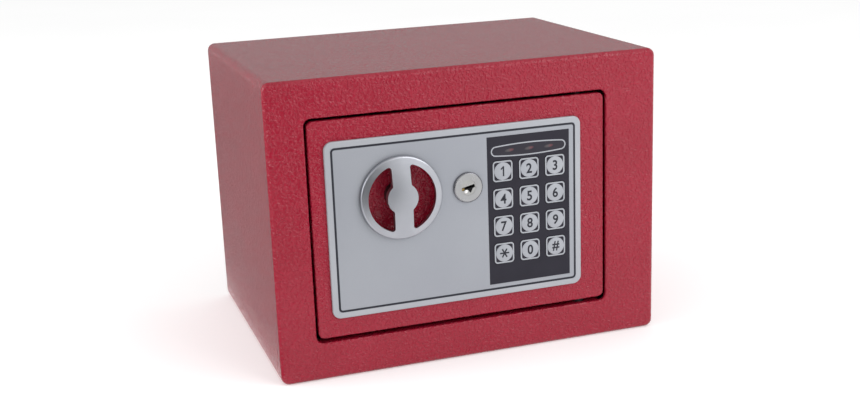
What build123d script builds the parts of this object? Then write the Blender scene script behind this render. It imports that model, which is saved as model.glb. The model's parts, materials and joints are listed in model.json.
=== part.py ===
from build123d import *
import os

# A compact electronic safe: red steel body, flush door on concealed pins at the right, and a silver
# fascia with a turn knob, an override key lock and a twelve-key pad. Everything is in millimetres.
# X runs to the right, Y to the back and Z up, from the middle of the underside.
# The safe is drawn shut but unbolted, so every moving piece is free to travel on its own.

# ---- Shared ------------------------------------------------------------------------------------
HOLE_GAP = 0.1
FIXED_GAP = 0.02
THROUGH_CUT = 45.0
TAPPED_HOLE_SPARE = 0.3
DEPTH_TOLERANCE = 0.01

# ---- Body ------------------------------------------------------------------------------------
BODY_W = 230.0
BODY_D = 170.0
BODY_H = 170.0
SHEET_T = 2.0
SIDE_EDGE_R = 4.5
FACE_EDGE_R = 3.0
FRONT_Y = -BODY_D / 2
BACK_Y = BODY_D / 2
FRAME_BACK_Y = FRONT_Y + SHEET_T
PAN_D = 8.0
OPENING_LEFT = -94.0
OPENING_RIGHT = 83.0
OPENING_LOW = 21.8
OPENING_HIGH = 148.9
OPENING_R = 4.0
LIP_R = 0.9
RETURN_T = 2.0
LEFT_RETURN_BACK_Y = -77.0
LEVEL_RETURN_BACK_Y = -73.0
RETURN_RIGHT_END = 79.0
STOP_LOW = 78.0
STOP_HIGH = 94.0
STOP_Y = -76.5
STOP_T = 1.5
STOP_RIGHT = -90.0
ANCHOR_SPACING = 110.0
ANCHOR_R = 5.0
ANCHOR_BACK_Z = 85.0
MAT_T = 2.5
MAT_SIDE_GAP = 3.0
MAT_END_GAP = 5.0
MAT_HOLE_GAP = 1.0

# ---- Door ------------------------------------------------------------------------------------
DOOR_LEFT = -92.6
DOOR_RIGHT = 81.5
DOOR_LOW = 24.4
DOOR_HIGH = 147.3
DOOR_R = 3.5
DOOR_T = 3.0
DOOR_BACK_Y = FRONT_Y + DOOR_T
DOOR_EDGE_R = 0.9
DOOR_RETURN_T = 1.5
DOOR_RETURN_BACK_Y = -76.8
DOOR_RETURN_LOW = 36.0
DOOR_RETURN_HIGH = 137.0

# ---- Hinge: vertical pins hidden behind the right edge of the door ------------------------------
HINGE_X = 67.5
HINGE_Y = -78.0
PIN_R = 2.5
PIN_RUNNING_GAP = 0.05
PIN_CHAMFER = 0.5
LUG_T = 3.0
LUG_W = 17.0
LUG_DEPTH = 10.0
LUG_TOP_Z = 143.0
LUG_BOTTOM_Z = 26.0
PIN_END = 1.0
WASHER_R = 3.9
WASHER_GAP = 0.05

# ---- Fascia and keypad --------------------------------------------------------------------------
FASCIA_LEFT = -84.3
FASCIA_RIGHT = 66.4
FASCIA_LOW = 35.4
FASCIA_HIGH = 135.6
FASCIA_R = 4.8
FASCIA_T = 1.5
FASCIA_Y = FRONT_Y - FASCIA_T
FASCIA_EDGE_R = 0.6
STUD_R = 1.5
STUD_LENGTH = 6.2
STUD_PLACES = [(-76.0, 41.0), (-76.0, 131.0), (2.8, 41.0), (2.8, 131.0)]
STUD_NUT_FLATS = 5.5
STUD_NUT_T = 2.4
PAD_X = 34.0
PAD_Z = 85.45
PAD_W = 50.2
PAD_H = 86.5
PAD_GAP = 0.1
PAD_T = 1.9
PAD_WINDOW_MARGIN = 0.7
KEY_SIZE = 12.0
KEY_R = 2.0
KEY_PITCH_X = 16.0
KEY_PITCH_Z = 16.07
KEY_X = 34.15
KEY_Z = 84.4
KEY_GAP = 0.35
KEY_PROUD = 0.15
KEY_DISC_R = 5.1
KEY_DISC_T = 0.25
KEY_DISC_EDGE_R = 0.2
KEY_DEPTH = 2.15
KEY_NAMES = ["1", "2", "3", "4", "5", "6", "7", "8", "9", "star", "0", "hash"]
LED_X = 34.5
LED_Z = 120.1
LED_PITCH = 12.0
LED_R = 1.5
LED_HEIGHT = 2.9
LED_EDGE_R = 0.9
LENS_HALF_STRAIGHT = 19.9
LENS_HALF_END = 22.5
LENS_END_H = 2.6
LENS_MID_H = 3.5
LENS_GAP = 0.1
LENS_T = 1.2
RUBBER_W = 49.0
RUBBER_H = 66.0
RUBBER_Y = -84.0
BOARD_T = 1.6
BOARD_W = 56.0
BOARD_H = 96.0
BOARD_X = 35.0
BOARD_SCREW_SPACING_X = 46.0
BOARD_SCREW_SPACING_Z = 92.0
BOARD_SCREW_R = 1.2
BOARD_HEAD_R = 2.4
BOARD_HEAD_T = 1.5
BOARD_SCREW_BITE = 2.0

# ---- Control board, behind the keypad ------------------------------------------------------------
CONTROL_W = 53.0
CONTROL_H = 41.0
CONTROL_X = 35.5
CONTROL_Z = 118.5
CONTROL_Y = -76.0
CONTROL_R = 1.5
CHIP_W = 8.0
CHIP_H = 20.0
CHIP_T = 3.2
CHIP_LEFT_OF_MIDDLE = 16.0
BUZZER_R = 6.0
BUZZER_T = 7.0
BUZZER_RIGHT_OF_MIDDLE = 17.0
BUZZER_ABOVE_MIDDLE = 3.0
CONNECTOR_W = 10.0
CONNECTOR_H = 5.0
CONNECTOR_T = 6.0
CONNECTOR_BELOW_MIDDLE = 14.0
CONNECTOR_OFFSETS = [-2.0, 14.0]
SPACER_R = 2.4
SPACER_SPACING_X = 33.0
SPACER_SPACING_Z = 32.0
BUTTON_X = 36.0
BUTTON_Z = 122.0
BUTTON_R = 2.8
BUTTON_HOLE_R = 3.3
BUTTON_PROUD = 1.6
BUTTON_EDGE_R = 0.6
BUTTON_TRAVEL = 1.0
BUTTON_STOP_GAP = 0.2
BUTTON_FLANGE_R = 3.8
BUTTON_FLANGE_T = 1.2
BUTTON_STEM_R = 1.5
BUTTON_STEM_RUNNING_GAP = 0.08
BUTTON_STEM_L = 2.0
SWITCH_SIZE = 8.0
SWITCH_BACK_Y = -66.4

# ---- Knob and bolt work ---------------------------------------------------------------------------
KNOB_X = -42.4
KNOB_Z = 100.9
KNOB_R = 23.6
KNOB_BACK_Y = -87.2
KNOB_RIM_T = 2.2
KNOB_FRONT_Y = -91.6
KNOB_EDGE_R = 1.4
KNOB_WINDOW_R = 19.5
KNOB_BAR_W = 10.6
KNOB_HUB_R = 8.75
KNOB_CORNER_R = 1.5
KNOB_TILT = 1.6
DISH_R = 21.0
DISH_DEPTH = 6.0
DISH_WALL = 2.0
DISH_FLOOR_R = 4.5
DISH_MOUTH_R = 1.0
FASCIA_KNOB_HOLE_R = 21.8
SHAFT_R = 4.0
SHAFT_RUNNING_GAP = 0.06
SHAFT_FRONT_Y = -89.6
THREAD_R = 2.5
SHAFT_END_Y = -69.0
BUSHING_R = 7.2
BUSHING_BARREL_R = 6.0
BUSHING_FRONT_Y = -86.7
CRANK_FRONT_Y = -76.0
CRANK_T = 2.0
CRANK_HUB_R = 6.5
CRANK_EYE_R = 3.6
CRANK_PIN_R = 2.0
CRANK_PIN_END_Y = -70.2
BOLT_THROW = 12.0
CRANK_REACH = BOLT_THROW / 2
SHAFT_NUT_FLATS = 8.0
SHAFT_NUT_T = 4.0
CARRIAGE_Y = -73.5
CARRIAGE_T = 2.0
CARRIAGE_LEFT = -66.0
CARRIAGE_LOW_RIGHT = -6.0
CARRIAGE_HIGH_RIGHT = -19.0
CARRIAGE_LOW = 58.0
CARRIAGE_STEP = 84.0
CARRIAGE_HIGH = 118.0
CRANK_SLOT_W = 5.2
CRANK_SLOT_TOP = 11.4
SHAFT_CLEARANCE = 5.3
FLANGE_LOW = 41.0
FLANGE_HIGH = 131.0
BOLT_R = 6.0
BOLT_CHAMFER = 1.0
BOLT_Y = -70.0
BOLT_ZS = [48.1, 124.1]
BOLT_TIP_X = -90.5
BOLT_RUNNING_GAP = 0.05
RIVET_R = 3.0
RIVET_HEAD_R = 4.0
RIVET_HEAD_T = 1.0
GUIDE_LEFT = -83.0
GUIDE_T = 2.0
GUIDE_BACK_Y = -62.0
GUIDE_LOW = 38.0
GUIDE_HIGH = 134.0
GUIDE_FOOT = 8.0
SLIDE_STUD_PLACES = [(-56.0, 70.0), (-26.0, 70.0)]
SLIDE_STUD_R = 2.5
SLIDE_SLOT_GAP = 0.35
SLIDE_COLLAR_R = 4.5
SLIDE_SIDE_GAP = 0.3
SLIDE_HEAD_T = 2.2

# ---- Key lock --------------------------------------------------------------------------------------
LOCK_X = -3.0
LOCK_Z = 101.7
LOCK_BEZEL_R = 8.6
LOCK_BEZEL_T = 1.4
LOCK_BEZEL_CHAMFER = 0.4
LOCK_BARREL_R = 6.0
LOCK_BARREL_END_Y = -69.0
LOCK_NUT_FLATS = 16.0
LOCK_NUT_T = 3.0
PLUG_R = 4.4
PLUG_RUNNING_GAP = 0.06
PLUG_END_Y = -65.0
PLUG_RECESS = 0.15
KEYWAY_L = 7.6
KEYWAY_W = 1.9
KEYWAY_TILT = 13.0
KEYWAY_DEPTH = 12.0
CAM_Y = -68.4
CAM_T = 2.0
CAM_HUB_R = 6.0
CAM_TIP_R = 3.5
CAM_REACH = 18.0

# ---- Solenoid that blocks the bolt carriage --------------------------------------------------------
SOLENOID_X = -34.0
SOLENOID_Y = -72.5
SOLENOID_LOW = 32.0
SOLENOID_HIGH = 48.0
SOLENOID_W = 18.0
SOLENOID_SHEET = 1.2
SOLENOID_HOLE_GAP = 0.4
SOLENOID_BACK_Y = -63.9
COIL_R = 8.0
PLUNGER_R = 3.0
PLUNGER_RUNNING_GAP = 0.08
PLUNGER_CHAMFER = 0.6
PLUNGER_LOW = 34.0
PLUNGER_HIGH = 56.5
PLUNGER_COLLAR_R = 4.6
PLUNGER_COLLAR_T = 0.8
PLUNGER_COLLAR_Z = 50.3
NOTCH_W = 7.4
NOTCH_DEPTH = 5.5
SPRING_R = 3.95
SPRING_WIRE_R = 0.35
SPRING_LOW = 48.4
SPRING_PITCH = 0.75
SPRING_TURNS = 2

# ---- Inner cover and battery compartment -------------------------------------------------------------
COVER_LEFT = -86.0
COVER_RIGHT = 66.0
COVER_LOW = 30.0
COVER_HIGH = 142.0
COVER_BACK_Y = -54.0
COVER_T = 1.6
COVER_R = 4.0
COVER_EDGE_R = 1.5
BOLT_PORT_R = 6.6
POST_PLACES = [(-60.0, 36.0), (-60.0, 136.4), (-10.0, 36.0), (-10.0, 136.4)]
POST_R = 3.5
COVER_SCREW_R = 1.2
COVER_SCREW_HOLE_R = 1.7
COVER_SCREW_BITE = 7.0
COVER_HEAD_R = 3.0
COVER_HEAD_T = 1.6
CROSS_L = 3.4
CROSS_W = 0.7
CROSS_DEPTH = 0.9
CELL_R = 7.1
CELL_L = 49.3
CELL_NUB_R = 2.7
CELL_NUB_L = 1.1
CELL_COUNT = 4
CELL_PITCH = 14.7
CELL_Y = -65.2
BOX_LEFT = 5.0
BOX_RIGHT = 63.0
BOX_LOW = 32.5
BOX_HIGH = 94.6
BOX_FRONT_Y = -74.0
BOX_T = 1.5
BAY_LEFT = 7.0
BAY_RIGHT = 61.0
BAY_LOW = 34.6
BAY_HIGH = 92.6
LID_LEFT = 5.5
LID_RIGHT = 62.5
LID_HIGH = 96.0
LID_GAP = 0.1
LID_T = 1.6
LID_AXIS_Y = -52.35
LID_AXIS_Z = 33.0
LID_BARREL_R = 1.25
LID_PIN_R = 0.72
LID_PIN_L = 1.8
LID_TAB_W = 12.0
LID_TAB_H = 3.0
LID_TAB_T = 1.4
EAR_T = 2.2
EAR_GAP = 0.3
EAR_HALF = 1.6
EAR_BACK_Y = -50.6
EAR_RUNNING_GAP = 0.08


def upright(y):
    """Plane parallel to the front of the safe, at depth y. It faces the front."""
    return Plane.XZ.offset(-y)


def sideways(x):
    """Plane across the width of the safe, at x. It faces right, with Y and Z in it."""
    return Plane.YZ.offset(x)


def save(piece, name):
    """Label a finished piece and write it as its own STEP file."""
    piece.part.label = name
    export_step(piece.part, f"parts/{name}.step")


def plate_outline(left, right, low, high, radius):
    """Rounded rectangle between four limits, for use inside a sketch on an upright plane."""
    with Locations(((left + right) / 2, (low + high) / 2)):
        RectangleRounded(right - left, high - low, radius)


def box_outline(left, right, low, high):
    """Square-cornered rectangle between four limits, for use inside a sketch."""
    with Locations(((left + right) / 2, (low + high) / 2)):
        Rectangle(right - left, high - low)


def hexagon(flats):
    """Hexagon across the given flats, for use inside a sketch."""
    RegularPolygon(radius=flats / 2, side_count=6, major_radius=False)


def circles_at_depth(piece, y):
    """The round edges of a piece that lie at depth y."""
    circles = piece.edges().filter_by(GeomType.CIRCLE)
    return circles.filter_by_position(Axis.Y, y - DEPTH_TOLERANCE, y + DEPTH_TOLERANCE)


# ---- Body ------------------------------------------------------------------------------------------
def make_body_shell():
    with BuildPart() as body_shell:
        with BuildSketch(upright(FRONT_Y)):
            plate_outline(-BODY_W / 2, BODY_W / 2, 0, BODY_H, SIDE_EDGE_R)
        extrude(amount=-(BODY_D - PAN_D))
        fillet(body_shell.faces().sort_by(Axis.Y)[0].edges(), FACE_EDGE_R)
        with BuildSketch(upright(FRAME_BACK_Y)):
            plate_outline(
                -BODY_W / 2 + SHEET_T, BODY_W / 2 - SHEET_T, SHEET_T, BODY_H - SHEET_T, SIDE_EDGE_R - SHEET_T
            )
        extrude(amount=-BODY_D, mode=Mode.SUBTRACT)
        with BuildSketch(upright(FRONT_Y)):
            plate_outline(OPENING_LEFT, OPENING_RIGHT, OPENING_LOW, OPENING_HIGH, OPENING_R)
        extrude(amount=-SHEET_T, mode=Mode.SUBTRACT)
        fillet(body_shell.faces().sort_by(Axis.Y)[0].inner_wires()[0].edges(), LIP_R)
        # The edge of the opening is folded inwards, except along the hinge side. The bolts run behind
        # its left return, and the pins of the door turn in its upper and lower returns.
        with BuildSketch(upright(FRAME_BACK_Y)):
            plate_outline(
                OPENING_LEFT - RETURN_T, OPENING_RIGHT + RETURN_T,
                OPENING_LOW - RETURN_T, OPENING_HIGH + RETURN_T, OPENING_R + RETURN_T,
            )
            with Locations(((OPENING_LEFT + OPENING_RIGHT) / 2, (OPENING_LOW + OPENING_HIGH) / 2)):
                RectangleRounded(
                    OPENING_RIGHT - OPENING_LEFT, OPENING_HIGH - OPENING_LOW, OPENING_R, mode=Mode.SUBTRACT
                )
            with Locations((RETURN_RIGHT_END, BODY_H / 2)):
                Rectangle(BODY_W / 2, BODY_H, align=(Align.MIN, Align.CENTER), mode=Mode.SUBTRACT)
        extrude(amount=-(LEFT_RETURN_BACK_Y - FRAME_BACK_Y))
        with BuildSketch(upright(LEFT_RETURN_BACK_Y)):
            box_outline(OPENING_LEFT + OPENING_R, RETURN_RIGHT_END, OPENING_HIGH, OPENING_HIGH + RETURN_T)
            box_outline(OPENING_LEFT + OPENING_R, RETURN_RIGHT_END, OPENING_LOW - RETURN_T, OPENING_LOW)
        extrude(amount=-(LEVEL_RETURN_BACK_Y - LEFT_RETURN_BACK_Y))
        # Tab that the folded return of the closing door comes to rest against.
        with BuildSketch(upright(LEFT_RETURN_BACK_Y)):
            box_outline(OPENING_LEFT - RETURN_T, OPENING_LEFT, STOP_LOW, STOP_HIGH)
        extrude(amount=-(STOP_Y + STOP_T - LEFT_RETURN_BACK_Y))
        with BuildSketch(upright(STOP_Y)):
            box_outline(OPENING_LEFT, STOP_RIGHT, STOP_LOW, STOP_HIGH)
        extrude(amount=-STOP_T)
        with BuildSketch(Plane.XY.offset(OPENING_LOW - RETURN_T)):
            with Locations((HINGE_X, HINGE_Y)):
                Circle(PIN_R + PIN_RUNNING_GAP)
        extrude(amount=OPENING_HIGH - OPENING_LOW + 2 * RETURN_T, mode=Mode.SUBTRACT)
        with BuildSketch(Plane.XY):
            with GridLocations(ANCHOR_SPACING, 0, 2, 1):
                Circle(ANCHOR_R)
        extrude(amount=SHEET_T, mode=Mode.SUBTRACT)
    save(body_shell, "body_shell")


def make_back_panel():
    with BuildPart() as back_panel:
        with BuildSketch(upright(BACK_Y - PAN_D)):
            plate_outline(-BODY_W / 2, BODY_W / 2, 0, BODY_H, SIDE_EDGE_R)
        extrude(amount=-PAN_D)
        fillet(back_panel.faces().sort_by(Axis.Y)[-1].edges(), FACE_EDGE_R)
        with BuildSketch(upright(BACK_Y - PAN_D)):
            plate_outline(
                -BODY_W / 2 + SHEET_T, BODY_W / 2 - SHEET_T, SHEET_T, BODY_H - SHEET_T, SIDE_EDGE_R - SHEET_T
            )
        extrude(amount=-(PAN_D - SHEET_T), mode=Mode.SUBTRACT)
        with BuildSketch(upright(BACK_Y)):
            with Locations((0, ANCHOR_BACK_Z)):
                with GridLocations(ANCHOR_SPACING, 0, 2, 1):
                    Circle(ANCHOR_R)
        extrude(amount=SHEET_T, mode=Mode.SUBTRACT)
    save(back_panel, "back_panel")


def make_floor_mat():
    mat_w = BODY_W - 2 * (SHEET_T + MAT_SIDE_GAP)
    mat_d = BODY_D - 2 * (SHEET_T + MAT_END_GAP)
    with BuildPart() as floor_mat:
        with BuildSketch(Plane.XY.offset(SHEET_T)):
            RectangleRounded(mat_w, mat_d, MAT_T)
            with GridLocations(ANCHOR_SPACING, 0, 2, 1):
                Circle(ANCHOR_R + MAT_HOLE_GAP, mode=Mode.SUBTRACT)
        extrude(amount=MAT_T)
    save(floor_mat, "floor_mat")


# ---- Door ------------------------------------------------------------------------------------------
def make_door_plate():
    dish_floor_y = FRONT_Y + DISH_DEPTH
    dish_back_y = dish_floor_y + DISH_WALL
    with BuildPart() as door_plate:
        with BuildSketch(upright(FRONT_Y)):
            plate_outline(DOOR_LEFT, DOOR_RIGHT, DOOR_LOW, DOOR_HIGH, DOOR_R)
        extrude(amount=-DOOR_T)
        fillet(door_plate.faces().sort_by(Axis.Y)[0].edges(), DOOR_EDGE_R)
        # Round dish pressed into the plate behind the knob.
        with BuildSketch(upright(FRONT_Y + DOOR_T / 2)):
            with Locations((KNOB_X, KNOB_Z)):
                Circle(DISH_R + DISH_WALL)
        extrude(amount=-(DISH_DEPTH + DISH_WALL - DOOR_T / 2))
        fillet(circles_at_depth(door_plate, dish_back_y), DISH_FLOOR_R)
        with BuildSketch(upright(FRONT_Y)):
            with Locations((KNOB_X, KNOB_Z)):
                Circle(DISH_R)
        extrude(amount=-DISH_DEPTH, mode=Mode.SUBTRACT)
        fillet(circles_at_depth(door_plate, dish_floor_y), DISH_FLOOR_R)
        dish_mouth = circles_at_depth(door_plate, FRONT_Y).sort_by(SortBy.RADIUS)[-1]
        fillet(dish_mouth, DISH_MOUTH_R)
        with BuildSketch(upright(dish_floor_y)):
            with Locations((KNOB_X, KNOB_Z)):
                Circle(BUSHING_BARREL_R + FIXED_GAP)
        extrude(amount=-DISH_WALL, mode=Mode.SUBTRACT)
        # Folded return along the opening edge.
        with BuildSketch(upright(DOOR_BACK_Y)):
            box_outline(DOOR_LEFT, DOOR_LEFT + DOOR_RETURN_T, DOOR_RETURN_LOW, DOOR_RETURN_HIGH)
        extrude(amount=-(DOOR_RETURN_BACK_Y - DOOR_BACK_Y))
        # Keypad window, lock hole and the holes for the fascia studs.
        with BuildSketch(upright(FRONT_Y)):
            with Locations((PAD_X, PAD_Z)):
                Rectangle(PAD_W + 2 * PAD_WINDOW_MARGIN, PAD_H + 2 * PAD_WINDOW_MARGIN)
            with Locations((LOCK_X, LOCK_Z)):
                Circle(LOCK_BARREL_R + HOLE_GAP)
            with Locations(*STUD_PLACES):
                Circle(STUD_R + HOLE_GAP)
        extrude(amount=-DOOR_T, mode=Mode.SUBTRACT)
        # Posts for the inner cover, with tapped holes, and tapped holes for the keypad board.
        with BuildSketch(upright(DOOR_BACK_Y)):
            with Locations(*POST_PLACES):
                Circle(POST_R)
        extrude(amount=-(COVER_BACK_Y - COVER_T - DOOR_BACK_Y))
        with BuildSketch(upright(COVER_BACK_Y - COVER_T)):
            with Locations(*POST_PLACES):
                Circle(COVER_SCREW_R + FIXED_GAP)
        extrude(amount=COVER_SCREW_BITE + TAPPED_HOLE_SPARE, mode=Mode.SUBTRACT)
        with BuildSketch(upright(DOOR_BACK_Y)):
            with Locations((BOARD_X, PAD_Z)):
                with GridLocations(BOARD_SCREW_SPACING_X, BOARD_SCREW_SPACING_Z, 2, 2):
                    Circle(BOARD_SCREW_R + FIXED_GAP)
        extrude(amount=BOARD_SCREW_BITE + TAPPED_HOLE_SPARE, mode=Mode.SUBTRACT)
    save(door_plate, "door_plate")


def make_hinge_lug(name, low_z):
    """Block welded to the back of the door, in which a hinge pin is fixed."""
    with BuildPart() as hinge_lug:
        with BuildSketch(Plane.XY.offset(low_z)):
            with Locations((HINGE_X, DOOR_BACK_Y + LUG_DEPTH / 2)):
                Rectangle(LUG_W, LUG_DEPTH)
            with Locations((HINGE_X, HINGE_Y)):
                Circle(PIN_R + FIXED_GAP, mode=Mode.SUBTRACT)
        extrude(amount=LUG_T)
        fillet(hinge_lug.faces().sort_by(Axis.Y)[-1].edges().filter_by(Axis.Z), LUG_T)
    save(hinge_lug, name)


def make_hinge_pin(name, low_z, high_z):
    with BuildPart() as hinge_pin:
        with BuildSketch(Plane.XY.offset(low_z)):
            with Locations((HINGE_X, HINGE_Y)):
                Circle(PIN_R)
        extrude(amount=high_z - low_z)
        chamfer(hinge_pin.edges().filter_by(GeomType.CIRCLE), PIN_CHAMFER)
    save(hinge_pin, name)


def make_hinge_washer():
    """Spacer that carries the weight of the door on the lower return of the frame."""
    low_z = OPENING_LOW + WASHER_GAP
    with BuildPart() as hinge_washer:
        with BuildSketch(Plane.XY.offset(low_z)):
            with Locations((HINGE_X, HINGE_Y)):
                Circle(WASHER_R)
                Circle(PIN_R + FIXED_GAP, mode=Mode.SUBTRACT)
        extrude(amount=LUG_BOTTOM_Z - low_z)
    save(hinge_washer, "hinge_washer")


# ---- Fascia and keypad ------------------------------------------------------------------------------
def make_fascia_panel():
    with BuildPart() as fascia_panel:
        with BuildSketch(upright(FASCIA_Y)):
            plate_outline(FASCIA_LEFT, FASCIA_RIGHT, FASCIA_LOW, FASCIA_HIGH, FASCIA_R)
        extrude(amount=-FASCIA_T)
        fillet(fascia_panel.faces().sort_by(Axis.Y)[0].edges(), FASCIA_EDGE_R)
        with BuildSketch(upright(FASCIA_Y)):
            with Locations((PAD_X, PAD_Z)):
                Rectangle(PAD_W, PAD_H)
            with Locations((KNOB_X, KNOB_Z)):
                Circle(FASCIA_KNOB_HOLE_R)
            with Locations((LOCK_X, LOCK_Z)):
                Circle(LOCK_BARREL_R + HOLE_GAP)
        extrude(amount=-FASCIA_T, mode=Mode.SUBTRACT)
        with BuildSketch(upright(FRONT_Y)):
            with Locations(*STUD_PLACES):
                Circle(STUD_R)
        extrude(amount=-STUD_LENGTH)
    save(fascia_panel, "fascia_panel")


def make_fascia_nuts():
    with BuildPart() as fascia_nuts:
        with BuildSketch(upright(DOOR_BACK_Y)):
            with Locations(*STUD_PLACES):
                hexagon(STUD_NUT_FLATS)
                Circle(STUD_R + FIXED_GAP, mode=Mode.SUBTRACT)
        extrude(amount=-STUD_NUT_T)
    save(fascia_nuts, "fascia_nuts")


def lens_outline(grow):
    """Long lens with bulging edges and round ends, about the origin, for use inside a line."""
    end_h = LENS_END_H + grow
    for side in (1, -1):
        ThreePointArc(
            (-side * LENS_HALF_STRAIGHT, side * end_h),
            (0, side * (LENS_MID_H + grow)),
            (side * LENS_HALF_STRAIGHT, side * end_h),
        )
        ThreePointArc(
            (side * LENS_HALF_STRAIGHT, side * end_h),
            (side * (LENS_HALF_END + grow), 0),
            (side * LENS_HALF_STRAIGHT, -side * end_h),
        )


def lens_plane(y):
    """Upright plane with its origin at the middle of the status window."""
    return Plane(origin=(KEY_X, y, LED_Z), x_dir=(1, 0, 0), z_dir=(0, -1, 0))


def make_keypad_bezel():
    with BuildPart() as keypad_bezel:
        with BuildSketch(upright(FASCIA_Y)):
            with Locations((PAD_X, PAD_Z)):
                Rectangle(PAD_W - 2 * PAD_GAP, PAD_H - 2 * PAD_GAP)
            with Locations((KEY_X, KEY_Z)):
                with GridLocations(KEY_PITCH_X, KEY_PITCH_Z, 3, 4):
                    RectangleRounded(
                        KEY_SIZE + 2 * KEY_GAP, KEY_SIZE + 2 * KEY_GAP, KEY_R + KEY_GAP, mode=Mode.SUBTRACT
                    )
        extrude(amount=-PAD_T)
        with BuildSketch(lens_plane(FASCIA_Y)):
            with BuildLine():
                lens_outline(LENS_GAP)
            make_face()
        extrude(amount=-PAD_T, mode=Mode.SUBTRACT)
    save(keypad_bezel, "keypad_bezel")


def make_status_window():
    with BuildPart() as status_window:
        with BuildSketch(lens_plane(FASCIA_Y)):
            with BuildLine():
                lens_outline(0)
            make_face()
        extrude(amount=-LENS_T)
    save(status_window, "status_window")


def make_status_leds():
    with BuildPart() as status_leds:
        with BuildSketch(upright(DOOR_BACK_Y)):
            with Locations((LED_X, LED_Z)):
                with GridLocations(LED_PITCH, 0, 3, 1):
                    Circle(LED_R)
        extrude(amount=LED_HEIGHT)
        fillet(status_leds.faces().filter_by(Axis.Y).group_by(Axis.Y)[0].edges(), LED_EDGE_R)
    save(status_leds, "status_leds")


def make_keys():
    front_y = FASCIA_Y - KEY_PROUD
    for index, name in enumerate(KEY_NAMES):
        key_x = KEY_X + (index % 3 - 1) * KEY_PITCH_X
        key_z = KEY_Z + (1.5 - index // 3) * KEY_PITCH_Z
        with BuildPart() as key:
            with BuildSketch(upright(front_y)):
                with Locations((key_x, key_z)):
                    RectangleRounded(KEY_SIZE, KEY_SIZE, KEY_R)
            extrude(amount=-KEY_DEPTH)
            with BuildSketch(upright(front_y)):
                with Locations((key_x, key_z)):
                    Circle(KEY_DISC_R)
            extrude(amount=KEY_DISC_T)
            fillet(key.faces().sort_by(Axis.Y)[0].edges(), KEY_DISC_EDGE_R)
        save(key, f"key_{name}")


def make_keypad_mat():
    """Rubber switch mat that the keys press on."""
    with BuildPart() as keypad_mat:
        with BuildSketch(upright(RUBBER_Y)):
            with Locations((PAD_X, KEY_Z)):
                Rectangle(RUBBER_W, RUBBER_H)
        extrude(amount=-(DOOR_BACK_Y - RUBBER_Y))
    save(keypad_mat, "keypad_mat")


def make_keypad_board():
    with BuildPart() as keypad_board:
        with BuildSketch(upright(DOOR_BACK_Y)):
            with Locations((BOARD_X, PAD_Z)):
                Rectangle(BOARD_W, BOARD_H)
                with GridLocations(BOARD_SCREW_SPACING_X, BOARD_SCREW_SPACING_Z, 2, 2):
                    Circle(BOARD_SCREW_R + HOLE_GAP, mode=Mode.SUBTRACT)
        extrude(amount=-BOARD_T)
    save(keypad_board, "keypad_board")


def make_board_screws():
    with BuildPart() as board_screws:
        with BuildSketch(upright(DOOR_BACK_Y + BOARD_T)):
            with Locations((BOARD_X, PAD_Z)):
                with GridLocations(BOARD_SCREW_SPACING_X, BOARD_SCREW_SPACING_Z, 2, 2):
                    Circle(BOARD_HEAD_R)
        extrude(amount=-BOARD_HEAD_T)
        with BuildSketch(upright(DOOR_BACK_Y + BOARD_T)):
            with Locations((BOARD_X, PAD_Z)):
                with GridLocations(BOARD_SCREW_SPACING_X, BOARD_SCREW_SPACING_Z, 2, 2):
                    Circle(BOARD_SCREW_R)
        extrude(amount=BOARD_T + BOARD_SCREW_BITE)
    save(board_screws, "board_screws")


# ---- Control board --------------------------------------------------------------------------------
def make_board_spacers():
    board_back_y = DOOR_BACK_Y + BOARD_T
    with BuildPart() as board_spacers:
        with BuildSketch(upright(board_back_y)):
            with Locations((CONTROL_X, CONTROL_Z)):
                with GridLocations(SPACER_SPACING_X, SPACER_SPACING_Z, 2, 2):
                    Circle(SPACER_R)
        extrude(amount=-(CONTROL_Y - board_back_y))
    save(board_spacers, "board_spacers")


def make_control_board():
    with BuildPart() as control_board:
        with BuildSketch(upright(CONTROL_Y)):
            with Locations((CONTROL_X, CONTROL_Z)):
                RectangleRounded(CONTROL_W, CONTROL_H, CONTROL_R)
        extrude(amount=-BOARD_T)
    save(control_board, "control_board")


def make_board_components():
    """Switch housing, controller chip, buzzer and two connectors on the control board."""
    board_back_y = CONTROL_Y + BOARD_T
    with BuildPart() as board_components:
        with BuildSketch(upright(board_back_y)):
            with Locations((BUTTON_X, BUTTON_Z)):
                Rectangle(SWITCH_SIZE, SWITCH_SIZE)
        extrude(amount=-(SWITCH_BACK_Y - board_back_y))
        with BuildSketch(upright(board_back_y)):
            with Locations((CONTROL_X - CHIP_LEFT_OF_MIDDLE, CONTROL_Z)):
                Rectangle(CHIP_W, CHIP_H)
        extrude(amount=-CHIP_T)
        with BuildSketch(upright(board_back_y)):
            with Locations((CONTROL_X + BUZZER_RIGHT_OF_MIDDLE, CONTROL_Z + BUZZER_ABOVE_MIDDLE)):
                Circle(BUZZER_R)
        extrude(amount=-BUZZER_T)
        with BuildSketch(upright(board_back_y)):
            for offset_x in CONNECTOR_OFFSETS:
                with Locations((CONTROL_X + offset_x, CONTROL_Z - CONNECTOR_BELOW_MIDDLE)):
                    Rectangle(CONNECTOR_W, CONNECTOR_H)
        extrude(amount=-CONNECTOR_T)
        # Well in the switch that the stem of the button slides in.
        with BuildSketch(upright(SWITCH_BACK_Y)):
            with Locations((BUTTON_X, BUTTON_Z)):
                Circle(BUTTON_STEM_R + BUTTON_STEM_RUNNING_GAP)
        extrude(amount=BUTTON_STEM_L + BUTTON_TRAVEL + BUTTON_STOP_GAP, mode=Mode.SUBTRACT)
    save(board_components, "board_components")


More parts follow.
